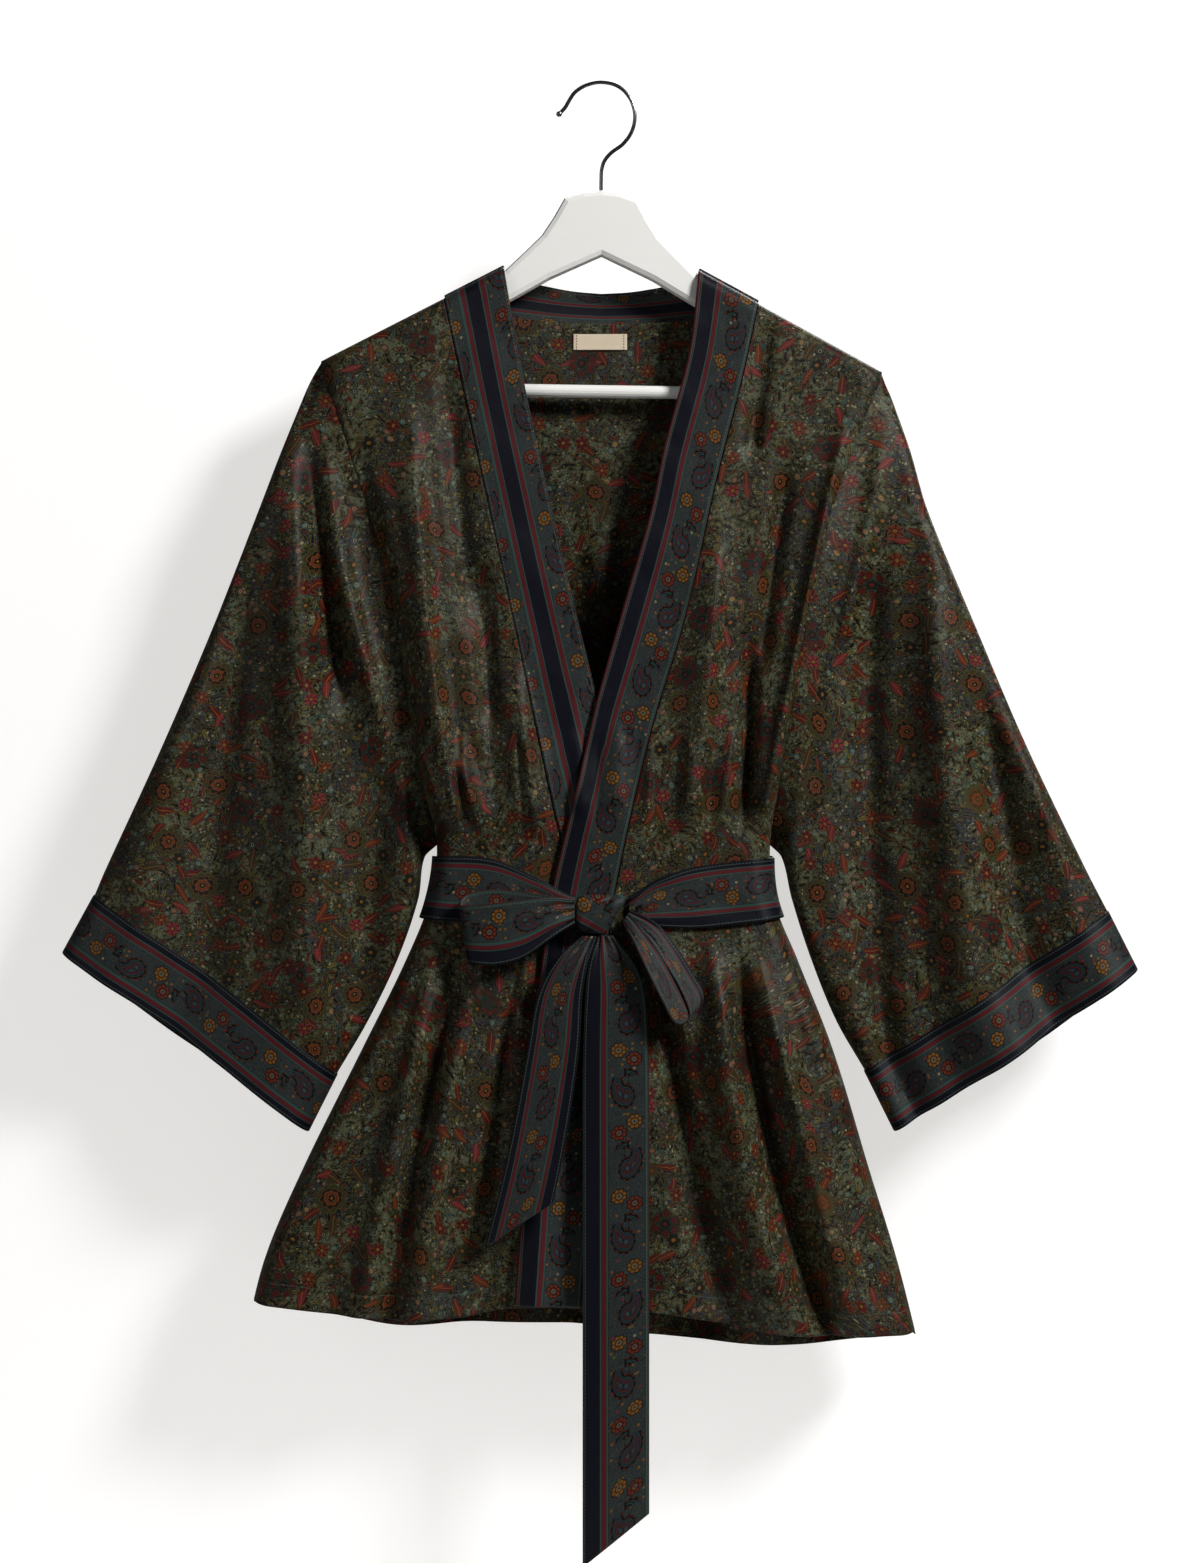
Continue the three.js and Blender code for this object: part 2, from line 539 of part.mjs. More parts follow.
/** The back panel. u runs from the right seam to the left, so that its outside faces +Y. */
function backPanel(u, v) {
  const sign = u < 0.5 ? 1 : -1;
  const column = (u < 0.5 ? u : 1 - u) * 2 * (BACK_COLUMNS.length - 1);
  const low = Math.min(Math.floor(column + 1e-6), BACK_COLUMNS.length - 2);
  const way = mix(BACK_COLUMNS[low], BACK_COLUMNS[low + 1], column - low);
  const seams = sign > 0 ? SEAM_RIGHT : SEAM_LEFT;
  let x = sign * 220 * (1 - way);
  let z = -400;
  let share = 1;
  let open = 0;
  for (let pass = 0; pass < 8; pass += 1) {
    const top = backTop(x);
    const height = top - along(HEM_BACK, 'x', 'z', x);
    open = ease(122.5, 90, Math.abs(x));
    z = top - mix(rowDrop(v, height, ROLL_SHARE), v * height, open);
    const placed = rollIn(way, along(seams, 'z', 'x', z), 0, sign, seamDepthAt(z), backDepth(x, z));
    x = placed.x;
    share = placed.share;
  }
  const overArm = Math.max(shoulderShare(shoulderZ(x) - z), 0.02);
  const depth = backDepth(x, z) * share * mix(overArm, 1, open);
  const neck = Math.abs(x) < 121.5 ? ease(0.12, 0, v) : 0;
  const sewn = along(NECK_SEWN, 'x', 'y', -Math.abs(x));
  return new THREE.Vector3(x, Math.max(mix(depth, sewn, neck), SEAM_GAP / 2), z);
}

/** The neckband behind the neck, from the left shoulder to the right. v runs from sewn to free edge. */
function neckBand(u, v) {
  const half = u < 0.5 ? 2 * u : 2 - 2 * u;
  const side = u < 0.5 ? 1 : -1;
  const place = (rows, column) => {
    const spaced = rows.map((row, i) => ({ ...row, i: i / (rows.length - 1) }));
    return along(spaced, 'i', column, half);
  };
  const lean = (x) => -HANGER_LEAN * x;
  const x = side * mix(place(NECK_SEWN, 'x'), place(NECK_FREE, 'x'), v);
  const crown = 1.4 * Math.sin(Math.PI * v) * Math.sin(Math.PI * half * 0.5);
  return new THREE.Vector3(
    x,
    mix(place(NECK_SEWN, 'y'), place(NECK_FREE, 'y'), v) + crown,
    mix(place(NECK_SEWN, 'z'), place(NECK_FREE, 'z'), v) + lean(x),
  );
}

/** A point on a sleeve's flat outline: a runs from the outer edge to the inner, t down to the cuff. */
function sleevePlace(sleeve, a, t) {
  const seams = sleeve.side < 0 ? SEAM_LEFT : SEAM_RIGHT;
  const armZ = mix(sleeve.tip, UNDERARM_Z, a);
  const arm = { x: along(seams, 'z', 'x', armZ) + sleeve.side * ARMHOLE_GAP, z: armZ };
  const cuff = {
    x: mix(sleeve.cuffOuter.x, sleeve.cuffInner.x, a),
    z: mix(sleeve.cuffOuter.z, sleeve.cuffInner.z, a) + sleeve.cuffBow * Math.sin(Math.PI * a),
  };
  const outerZ = mix(sleeve.tip, sleeve.cuffOuter.z, t);
  const innerZ = mix(UNDERARM_Z, sleeve.cuffInner.z, t);
  const outer = { x: along(sleeve.outer, 'z', 'x', outerZ), z: outerZ };
  const inner = { x: along(sleeve.inner, 'z', 'x', innerZ), z: innerZ };
  const corner = {
    tipX: sleeve.outer[0].x,
    armX: sleeve.inner[0].x,
  };
  const across = (key, tip, under, cuffOut, cuffIn) =>
    mix(arm[key], cuff[key], t) +
    mix(outer[key], inner[key], a) -
    mix(mix(tip, under, a), mix(cuffOut, cuffIn, a), t);
  return {
    x: across('x', corner.tipX, corner.armX, sleeve.cuffOuter.x, sleeve.cuffInner.x),
    z: across('z', sleeve.tip, UNDERARM_Z, sleeve.cuffOuter.z, sleeve.cuffInner.z),
    armZ,
  };
}

/** Half of a sleeve's ring: way from outer to inner edge, front or back; beyond is 1 at the cuff's end. */
function sleevePoint(sleeve, way, t, isFront, beyond = 0) {
  const from = sleevePlace(sleeve, 0, t);
  const to = sleevePlace(sleeve, 1, t);
  const length = Math.hypot(to.x - from.x, to.z - from.z);
  const arc = SIDE_ROLL * (Math.PI / 2);
  const run = way * (length - 2 * SIDE_ROLL + 2 * arc);
  let reach = SIDE_ROLL + run - arc;
  let share = 1;
  if (run < arc) {
    reach = SIDE_ROLL * (1 - Math.cos(run / SIDE_ROLL));
    share = Math.sin(run / SIDE_ROLL);
  } else if (run > length - 2 * SIDE_ROLL + arc) {
    const angle = (length - 2 * SIDE_ROLL + 2 * arc - run) / SIDE_ROLL;
    reach = length - SIDE_ROLL * (1 - Math.cos(angle));
    share = Math.sin(angle);
  }
  const a = reach / length;
  const place = sleevePlace(sleeve, a, t);
  const folds = isFront ? sleeve.frontFolds : sleeve.backFolds;
  const base = isFront ? SLEEVE_DEPTH.front : SLEEVE_DEPTH.back;
  const hanging = (base + foldHeight(folds, place.x, place.z)) * share;
  const sewn = along(ARMHOLE_DEPTH, 'z', 'y', clamp(place.armZ, UNDERARM_Z, -226)) - 0.2;
  const depth = mix(Math.max(sewn, 0), hanging, ease(0, 0.2, t));
  // past the cuff seam the strip runs on along the sleeve
  const { outerX, outerZ, innerX, innerZ } = sleeve.cuffRun;
  const drop = isFront ? 1 : 1 + (CUFF_BACK_DROP / CUFF_WIDTH) * Math.sin(Math.PI * a);
  return new THREE.Vector3(
    place.x + mix(outerX, innerX, a) * beyond * drop,
    (isFront ? -1 : 1) * depth,
    place.z + mix(outerZ, innerZ, a) * beyond * drop,
  );
}

/** A closed ring round a sleeve: u from 0 to 1 goes out along the front and home along the back. */
function sleeveRing(sleeve, u, t, beyond) {
  const isFront = sleeve.side < 0 ? u < 0.5 : u >= 0.5;
  const half = u < 0.5 ? 2 * u : 2 - 2 * u;
  return sleevePoint(sleeve, half, t, isFront, beyond);
}

/** The belt round the waist, from the knot's left round the back to its right. */
function beltStrip(u, v) {
  const steps = BELT_COLUMNS.length - 1;
  const column = Math.round(u * 4 * steps);
  const knotSide = KNOT.halfTop + 0.6;
  if (column <= steps || column >= 3 * steps) {
    const sign = column <= steps ? -1 : 1;
    const way = BELT_COLUMNS[column <= steps ? column : 4 * steps - column];
    const seams = sign < 0 ? SEAM_LEFT : SEAM_RIGHT;
    let x = sign * mix(knotSide, 130, way);
    let z = -625;
    let share = 1;
    for (let pass = 0; pass < 4; pass += 1) {
      z = mix(along(BELT_EDGES, 'x', 'top', x), along(BELT_EDGES, 'x', 'bottom', x), v);
      const placed = rollIn(1 - way, along(seams, 'z', 'x', z), sign * knotSide, sign, 0.1, frontDepth(x, z));
      x = placed.x;
      share = placed.share;
    }
    return new THREE.Vector3(x, -frontDepth(x, z) * share, z);
  }
  const sign = column < 2 * steps ? -1 : 1;
  const half = 1 - BELT_COLUMNS[column < 2 * steps ? 2 * steps - column : column - 2 * steps];
  const z = mix(BELT_EDGES[0].top, BELT_EDGES[0].bottom, v);
  const seams = sign < 0 ? SEAM_LEFT : SEAM_RIGHT;
  const placed = rollIn(half, along(seams, 'z', 'x', z), 0, sign, 0.1, along(DEPTH, 'z', 'back', z));
  return new THREE.Vector3(placed.x, backDepth(placed.x, z) * placed.share, z);
}

/** A ribbon through its table's sections, with a slight crown across its width. */
function ribbon(rows, crown) {
  const numbered = rows.map((row, i) => ({ ...row, i: i / (rows.length - 1) }));
  const read = (column, v) => along(numbered, 'i', column, v);
  return (u, v) =>
    new THREE.Vector3(
      mix(read('ax', v), read('bx', v), u),
      mix(read('ay', v), read('by', v), u) - BOW_FORWARD - crown * Math.sin(Math.PI * u),
      mix(read('az', v), read('bz', v), u),
    );
}

/**
 * A cloth wall: a grid of points moved along its normals to an inside and an outside.
 * lift is how far the inside lies from the points, wall is its thickness.
 */
function clothWall(point, { columns, rows, wall, lift = -wall, ring = false, turn = false, keepY = null }) {
  const across = ring ? columns : columns + 1;
  const grid = [];
  for (let j = 0; j <= rows; j += 1) {
    for (let i = 0; i < across; i += 1) {
      grid.push(point(i / columns, j / rows));
    }
  }
  const index = (i, j) => j * across + (ring ? (i + across) % across : clamp(i, 0, columns));
  const normals = grid.map((_, k) => {
    const i = k % across;
    const j = Math.floor(k / across);
    const along1 = grid[index(i + 1, j)].clone().sub(grid[index(i - 1, j)]);
    const down = grid[index(i, Math.min(j + 1, rows))].clone().sub(grid[index(i, Math.max(j - 1, 0))]);
    const normal = down.cross(along1).normalize();
    return turn ? normal.negate() : normal;
  });
  const place = (k, offset) => {
    const p = grid[k].clone().addScaledVector(normals[k], offset);
    if (keepY) p.y = keepY(p.y);
    return p;
  };
  const points = [...grid.map((_, k) => place(k, lift + wall)), ...grid.map((_, k) => place(k, lift))];
  const inner = grid.length;
  const faces = [];
  const quad = (a, b, c, d) => faces.push([a, b, c], [a, c, d]);
  for (let j = 0; j < rows; j += 1) {
    for (let i = 0; i < columns; i += 1) {
      const [a, b, c, d] = [index(i, j), index(i + 1, j), index(i + 1, j + 1), index(i, j + 1)];
      quad(a, d, c, b);
      quad(a + inner, b + inner, c + inner, d + inner);
    }
  }
  for (let i = 0; i < columns; i += 1) {
    const [a, b] = [index(i, 0), index(i + 1, 0)];
    const [c, d] = [index(i, rows), index(i + 1, rows)];
    quad(a, b, b + inner, a + inner);
    quad(d, c, c + inner, d + inner);
  }
  for (let j = 0; !ring && j < rows; j += 1) {
    const [a, b] = [index(0, j), index(0, j + 1)];
    const [c, d] = [index(columns, j), index(columns, j + 1)];
    quad(b, a, a + inner, b + inner);
    quad(c, d, d + inner, c + inner);
  }
  const geometry = new THREE.BufferGeometry();
  geometry.setAttribute('position', new THREE.Float32BufferAttribute(points.flatMap((p) => p.toArray()), 3));
  geometry.setIndex(faces.flatMap((f) => (turn ? [f[0], f[2], f[1]] : f)));
  geometry.computeVertexNormals();
  return geometry;
}

/** A three.js geometry as a manifold solid, with only its positions merged. */
function toSolid(geometry) {
  const plain = geometry.clone();
  plain.deleteAttribute('normal');
  plain.deleteAttribute('uv');
  const merged = mergeVertices(plain, 1e-4);
  return new wasm.Manifold(
    new wasm.Mesh({
      numProp: 3,
      vertProperties: new Float32Array(merged.attributes.position.array),
      triVerts: new Uint32Array(merged.index.array),
    }),
  );
}

/** A manifold solid as a three.js geometry. */
function toGeometry(solid) {
  const mesh = solid.getMesh();
  const geometry = new THREE.BufferGeometry();
  geometry.setAttribute('position', new THREE.BufferAttribute(new Float32Array(mesh.vertProperties), 3));
  geometry.setIndex(new THREE.BufferAttribute(new Uint32Array(mesh.triVerts), 1));
  geometry.computeVertexNormals();
  return geometry;
}

/** The hanger's arms and neck, cut from one board, with sockets for the bar and the hook. */
function hangerArms() {
  const armTop = (x) => NECK_Z - HANGER.topGap - SHOULDER_SLOPE * (x - NECK_HALF);
  const shape = new THREE.Shape();
  const half = (sign) => [
    [sign * 40, HANGER.apexZ - 18.5],
    [sign * NECK_HALF, armTop(NECK_HALF) - HANGER.armDrop],
    [sign * 184, armTop(184) - HANGER.tipDrop],
    [sign * 188, -244],
    [sign * 194, -248.5],
    [sign * 203, -248],
    [sign * 209, -240],
    [sign * 210.5, -230],
    [sign * 209.5, -223],
    [sign * 205, armTop(205)],
    [sign * NECK_HALF, armTop(NECK_HALF)],
  ];
  const sweep = (sign) => [
    [sign * 59, -131],
    [sign * 47, -119],
    [sign * 38, -105],
    [sign * HANGER.crownHalf, HANGER.shoulderZ],
  ];
  const outline = [[0, HANGER.apexZ], ...half(1), ...sweep(1)];
  outline.push([15, HANGER.crownZ - 1.8], [0, HANGER.crownZ], [-15, HANGER.crownZ - 1.8]);
  outline.push(...sweep(-1).reverse(), ...half(-1).reverse());
  outline.forEach(([x, z], i) => (i ? shape.lineTo(x, z) : shape.moveTo(x, z)));
  shape.closePath();
  const inset = HANGER.edge;
  const board = new THREE.ExtrudeGeometry(shape, {
    depth: HANGER.thick - 2 * inset,
    bevelEnabled: true,
    bevelThickness: inset,
    bevelSize: inset * 0.85,
    bevelOffset: -inset * 0.85,
    bevelSegments: 2,
  });
  board.translate(0, 0, -HANGER.thick / 2 + inset);
  board.rotateX(Math.PI / 2);
  let solid = toSolid(board);
  for (const sign of [-1, 1]) {
    const socket = new THREE.CylinderGeometry(HANGER.socketRadius, HANGER.socketRadius, 2 * HANGER.socketDepth, 16);
    socket.rotateZ(Math.PI / 2);
    socket.translate(sign * (HANGER.barHalf + SEAM_GAP - HANGER.socketDepth), 0, HANGER.barZ);
    solid = solid.subtract(toSolid(socket));
  }
  const bore = new THREE.CylinderGeometry(HOOK.bore, HOOK.bore, 2 * HOOK.depth, 12);
  bore.rotateX(Math.PI / 2);
  bore.translate(0, 0, HANGER.crownZ);
  return toGeometry(solid.subtract(toSolid(bore)));
}

/** The bar that a garment would be folded over. */
function hangerBar() {
  const bar = new THREE.CylinderGeometry(HANGER.barRadius, HANGER.barRadius, 2 * HANGER.barHalf, 16);
  bar.rotateZ(Math.PI / 2);
  bar.translate(0, 0, HANGER.barZ);
  return bar;
}

/** The wire hook: a stem, a bend, most of a circle, and a turned-out tip with a ball end. */
function hangerHook() {
  const points = [
    [0.42, HANGER.crownZ - HOOK.depth + SEAM_GAP],
    [0.56, -84],
    [0.3, -68],
    [2, -60.5],
    [8, -53.3],
  ];
  const [fromDeg, toDeg, stepDeg] = [-50, 150, 20];
  for (let deg = fromDeg; deg <= toDeg; deg += stepDeg) {
    const angle = THREE.MathUtils.degToRad(deg);
    points.push([
      HOOK.centreX + HOOK.radius * Math.cos(angle),
      HOOK.centreZ + HOOK.radius * Math.sin(angle),
    ]);
  }
  const tip = [-34.5, -24.8];
  points.push([-28, -19.5], tip);
  const path = new THREE.CatmullRomCurve3(points.map(([x, z]) => new THREE.Vector3(x, 0, z)), false, 'centripetal');
  const section = new THREE.Shape();
  section.absarc(0, 0, HOOK.wire, 0, Math.PI * 2, false);
  const wire = new THREE.ExtrudeGeometry(section, { steps: 40, curveSegments: 4, extrudePath: path });
  const ball = new THREE.SphereGeometry(HOOK.ball, 10, 6);
  ball.translate(tip[0], 0, tip[1]);
  return toGeometry(toSolid(wire).add(toSolid(ball)));
}

/** The knot: a wrapped block, wider at the top, with its right side drawn in. */
function beltKnot() {
  const shape = new THREE.Shape();
  const corner = 5;
  const { halfTop, halfBottom, top, bottom, lean } = KNOT;
  const points = [
    [-halfTop, bottom + 8],
    [-halfTop, top - corner],
    [-halfTop + corner, top],
    [halfTop - corner, top],
    [halfTop, top - corner],
    [halfTop - 2, -648],
    [halfBottom + lean - 2, bottom + 3],
    [halfBottom + lean - 6, bottom],
    [-halfBottom + lean + 2, bottom],
    [-halfBottom + lean - 1, bottom + 2],
  ];
  points.forEach(([x, z], i) => (i ? shape.lineTo(x, z) : shape.moveTo(x, z)));
  shape.closePath();
  const bevel = 5;
  const block = new THREE.ExtrudeGeometry(shape, {
    depth: KNOT.front - KNOT.rear - 2 * bevel,
    bevelEnabled: true,
    bevelThickness: bevel,
    bevelSize: bevel * 0.8,
    bevelOffset: -bevel * 0.8,
    bevelSegments: 3,
  });
  block.translate(0, 0, KNOT.rear + bevel);
  block.rotateX(Math.PI / 2);
  return toGeometry(toSolid(block));
}

/** The blank label, flat on the inside of the back just below the neckband. */
function neckLabel() {
  const { x, z, width, height, wall } = LABEL;
  const seat = (u, v) => {
    const px = x + width * (u - 0.5);
    const pz = z + height * (0.5 - v);
    const v0 = (backTop(px) - pz) / (backTop(px) - along(HEM_BACK, 'x', 'z', px));
    const neck = ease(0.12, 0, v0);
    const depth = mix(backDepth(px, pz), along(NECK_SEWN, 'x', 'y', -Math.abs(px)), neck);
    return new THREE.Vector3(px, depth - CLOTH_WALL - 0.5, pz);
  };
  return clothWall(seat, { columns: 4, rows: 2, wall, lift: 0 });
}

// Materials
const print = new THREE.MeshStandardMaterial({ name: 'print', color: 0x3a3a2e, roughness: 0.7, side: THREE.DoubleSide });
const border = new THREE.MeshStandardMaterial({ name: 'border', color: 0x35363a, roughness: 0.6 });
const board = new THREE.MeshStandardMaterial({ name: 'hanger', color: 0xeeede9, roughness: 0.45 });
const steel = new THREE.MeshStandardMaterial({ name: 'hook', color: 0x8d8d8b, roughness: 0.25, metalness: 1 });
const tape = new THREE.MeshStandardMaterial({ name: 'label', color: 0xd9ccb8, roughness: 0.8 });

const robe = new THREE.Group();
robe.name = 'kimono_robe_on_hanger';

function add(parent, name, geometry, material) {
  const mesh = new THREE.Mesh(geometry, material);
  mesh.name = name;
  parent.add(mesh);
  return mesh;
}

const toFront = (y) => Math.min(y, -SEAM_GAP / 2);
const toBack = (y) => Math.max(y, SEAM_GAP / 2);

for (const { name, side } of [{ name: 'left', side: -1 }, { name: 'right', side: 1 }]) {
  const sleeve = side < 0 ? SLEEVE_LEFT : SLEEVE_RIGHT;
  add(robe, `front_${name}`, clothWall((u, v) => frontPanel(u, v, side), {
    columns: 16, rows: ROWS, wall: CLOTH_WALL, keepY: toFront,
  }), print);
  add(robe, `band_front_${name}`, clothWall((u, v) => frontBand(u, v, side), {
    columns: 4, rows: ROWS, wall: BAND_WALL, lift: BAND_PROUD - BAND_WALL, keepY: toFront,
  }), border);
  add(robe, `sleeve_${name}`, clothWall((u, v) => sleeveRing(sleeve, u, v * 0.998, 0), {
    columns: 28, rows: 13, wall: CLOTH_WALL, ring: true,
  }), print);
  add(robe, `cuff_${name}`, clothWall((u, v) => sleeveRing(sleeve, u, 1, mix(0.005, 1, v)), {
    columns: 28, rows: 3, wall: BAND_WALL, lift: BAND_PROUD - BAND_WALL, ring: true,
  }), border);
}
add(robe, 'back', clothWall(backPanel, { columns: 2 * (BACK_COLUMNS.length - 1), rows: ROWS, wall: CLOTH_WALL, keepY: toBack }), print);
add(robe, 'band_neck', clothWall((u, v) => neckBand(u, v), {
  columns: 24, rows: 3, wall: BAND_WALL, lift: BAND_PROUD - BAND_WALL, keepY: toBack,
}), border);
add(robe, 'label', neckLabel(), tape);
add(robe, 'belt_waist', clothWall(beltStrip, {
  columns: 4 * (BELT_COLUMNS.length - 1), rows: 3, wall: BELT_WALL, lift: BELT_LIFT, turn: true,
}), border);
add(robe, 'belt_knot', beltKnot(), border);
add(robe, 'belt_loop_left', clothWall(ribbon(LOOP_LEFT, 0), { columns: 3, rows: 24, wall: BELT_WALL, lift: -BELT_WALL / 2 }), border);
add(robe, 'belt_loop_right', clothWall(ribbon(LOOP_RIGHT, 0), { columns: 3, rows: 24, wall: BELT_WALL, lift: -BELT_WALL / 2 }), border);
add(robe, 'belt_tail_left', clothWall(ribbon(TAIL_LEFT, 1), { columns: 4, rows: 16, wall: BELT_WALL, lift: -BELT_WALL / 2 }), border);
add(robe, 'belt_tail_right', clothWall(ribbon(TAIL_RIGHT, 1), { columns: 4, rows: 24, wall: BELT_WALL, lift: -BELT_WALL / 2 }), border);

const hanger = new THREE.Group();
hanger.position.z = PIVOT_Z;
hanger.rotation.y = HANGER_LEAN;
const board0 = add(hanger, 'hanger_arms', hangerArms(), board);
const bar0 = add(hanger, 'hanger_bar', hangerBar(), board);
for (const mesh of [board0, bar0]) {
  mesh.position.z = -PIVOT_Z;
}
robe.add(hanger);
add(robe, 'hanger_hook', hangerHook(), steel);

export default robe;
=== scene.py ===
"""A short kimono robe with a paisley border, its belt tied in a bow, on a white clothes hanger.

Finished meshes are in metres. The tables of named sizes are in millimetres, like the part's source.
+X is the viewer's right, +Y is away from the viewer, +Z is up, and the origin is the inner crest of
the hanger's hook. "Left" and "right" are the viewer's, facing the front of the robe.
"""

import logging
import math
from dataclasses import dataclass, field
from enum import Enum
from typing import Callable, Sequence, Union

import bpy
import numpy as np
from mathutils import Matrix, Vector


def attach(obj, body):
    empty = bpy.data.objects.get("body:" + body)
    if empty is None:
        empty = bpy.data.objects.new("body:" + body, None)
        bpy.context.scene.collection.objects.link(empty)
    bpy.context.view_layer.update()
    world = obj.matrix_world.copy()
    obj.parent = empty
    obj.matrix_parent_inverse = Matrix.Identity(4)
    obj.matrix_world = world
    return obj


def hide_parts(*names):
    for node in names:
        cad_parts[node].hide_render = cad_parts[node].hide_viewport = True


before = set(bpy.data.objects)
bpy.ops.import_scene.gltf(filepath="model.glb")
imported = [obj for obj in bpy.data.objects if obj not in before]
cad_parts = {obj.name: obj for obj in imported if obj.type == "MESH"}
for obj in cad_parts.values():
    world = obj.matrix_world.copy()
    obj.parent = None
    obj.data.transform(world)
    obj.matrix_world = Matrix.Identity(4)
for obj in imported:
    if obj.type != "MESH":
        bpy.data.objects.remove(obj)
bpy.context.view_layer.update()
log = logging.getLogger("robe")

Array = np.ndarray
MM = 0.001
Place = Callable[[Array, Array], Array]


class Side(Enum):
    """The viewer's left or right."""

    LEFT = -1
    RIGHT = 1


# Small maths


def mix(a: Array, b: Array, t: Array) -> Array:
    """Goes straight from a to b as t goes from 0 to 1."""
    return a + (b - a) * t


def ease(low: float, high: float, value: Array) -> Array:
    """Goes from 0 at low to 1 at high, level at both ends: t squared times (3 - 2t)."""
    t = np.clip((value - low) / (high - low), 0.0, 1.0)
    return t * t * (3.0 - 2.0 * t)


def ripple(x: Array, z: Array, length: float, seed: int) -> Array:
    """Uneven waves, about -1 to 1: the mean of nine sines in seeded directions.

    Args:
        x: places across.
        z: places down.
        length: about the distance from one wave to the next.
        seed: picks the directions and phases.

    Returns:
        The height at each place.
    """
    rng = np.random.default_rng(seed)
    total = np.zeros(np.broadcast(x, z).shape)
    for _ in range(9):
        turn, phase = rng.uniform(0, 2 * math.pi, 2)
        pitch = 2 * math.pi / (length * rng.uniform(0.7, 1.5))
        total = total + np.sin((x * math.cos(turn) + z * math.sin(turn)) * pitch + phase)
    return total / 3.6


class Curve:
    """A smooth curve through the rows of a table, read by the table's first column."""

    def __init__(self, *rows: Sequence[float]) -> None:
        """Sorts the rows and works out each row's slope from its two neighbours."""
        table = np.array(sorted(rows), float)
        self.at, self.values = table[:, 0], table[:, 1:]
        before = np.maximum(np.arange(len(table)) - 1, 0)
        after = np.minimum(np.arange(len(table)) + 1, len(table) - 1)
        run = (self.at[after] - self.at[before])[:, None]
        self.slopes = (self.values[after] - self.values[before]) / run

    def __call__(self, place: Array, column: int = 0) -> Array:
        """Reads one column at each place, by the cubic that keeps both ends' values and slopes."""
        place = np.asarray(place, float)
        i = np.clip(np.searchsorted(self.at, place) - 1, 0, len(self.at) - 2)
        step = self.at[i + 1] - self.at[i]
        t = np.clip((place - self.at[i]) / step, 0.0, 1.0)
        near, far = self.values[i, column], self.values[i + 1, column]
        lean, leave = self.slopes[i, column], self.slopes[i + 1, column]
        flat = (1 + 2 * t) * (1 - t) ** 2 * near + t * t * (3 - 2 * t) * far
        return flat + step * t * (1 - t) * ((1 - t) * lean - t * leave)


def evenly(rows: Sequence[Sequence[float]]) -> Curve:
    """A curve through rows at even steps from 0 to 1."""
    return Curve(*[(i / (len(rows) - 1), *row) for i, row in enumerate(rows)])


@dataclass(frozen=True)
class Fold:
    """A soft ridge in the cloth, or a trough where rise is negative. Its crest bends through three places."""

    x0: float
    z0: float
    x1: float
    z1: float
    x2: float
    z2: float
    w0: float
    w1: float
    rise: float
    skew: float = 0.0

    def height(self, x: Array, z: Array) -> Array:
        """Height at each place: rise times exp(-1.8 d d), d being the distance from the crest in widths.

        The width grows from w0 to w1 down the crest. skew makes one flank steeper than the other.
        """
        t = (self.z0 - z) / (self.z0 - self.z2)
        mid = (self.z0 - self.z1) / (self.z0 - self.z2)
        bend = (self.x1 - mix(self.x0, self.x2, mid)) / (mid * (1 - mid))
        inside = np.clip(t, 0.0, 1.0)
        crest = mix(self.x0, self.x2, inside) + bend * inside * (1 - inside)
        away = (x - crest) / mix(self.w0, self.w1, inside)
        away = away * np.where(away > 0, 1 + self.skew, 1 - self.skew)
        return self.rise * ease(0, 0.3, inside) * ease(0, 0.2, 1 - inside) * np.exp(-1.8 * away * away)


def folds_height(folds: Sequence[Fold], x: Array, z: Array) -> Array:
    """The folds' heights together."""
    total = np.zeros(np.broadcast(x, z).shape)
    for fold in folds:
        total = total + fold.height(x, z)
    return total


def creases(
    seed: int, count: int, top: Curve, reach: tuple[float, float], size: tuple[float, float, float],
    fan: float
) -> list[Fold]:
    """Small seeded folds that start along a line and fan out downwards.

    Args:
        seed: picks the places.
        count: how many folds.
        top: the line that they start on, read from 0 to 1: column 0 is x, column 1 is z.
        reach: shortest and longest fold.
        size: smallest width, largest width, and height.
        fan: how far a fold's foot moves sideways for each millimetre down.

    Returns:
        The folds.
    """
    rng = np.random.default_rng(seed)
    made = []
    for k in range(count):
        at = (k + rng.uniform(0.15, 0.85)) / count
        x, z = float(top(at)), float(top(at, 1)) + rng.uniform(-6, 6)
        long = rng.uniform(*reach)
        wide = rng.uniform(size[0], size[1])
        drift = fan * (at - 0.5) * 2 * long + rng.uniform(-0.05, 0.05) * long
        rise = size[2] * rng.uniform(0.5, 1.0) * (1 if k % 2 else -0.8)
        made.append(
            Fold(
                x, z, x + 0.4 * drift, z - long / 2, x + drift, z - long, wide * 0.7, wide * 1.4, rise,
                rng.uniform(-0.3, 0.3)
            )
        )
    return made


# Cloth grids and meshes


def edged(count: int, edge: float = 0.0, dense: Sequence[tuple[float, int]] = ()) -> Array:
    """Steps from 0 to 1 with three close steps at each end, where the cloth's edge is rounded.

    Args:
        count: how many even steps lie between.
        edge: the rounding's share of the whole; 0 leaves the close steps out.
        dense: (share, steps) spans from 0 that get steps of their own.

    Returns:
        The rising steps.
    """
    inner = [np.linspace(0, 1, count + 1)]
    for share, steps in dense:
        inner = [np.linspace(0, share, steps + 1)[:-1], np.linspace(share, 1, count + 1)]
    steps = np.concatenate(inner)
    if not edge:
        return steps
    near = np.array([0.0, 0.134, 0.5, 1.0]) * edge
    return np.concatenate([near, steps[(steps > 1.5 * edge) & (steps < 1 - 1.5 * edge)], 1 - near[::-1]])


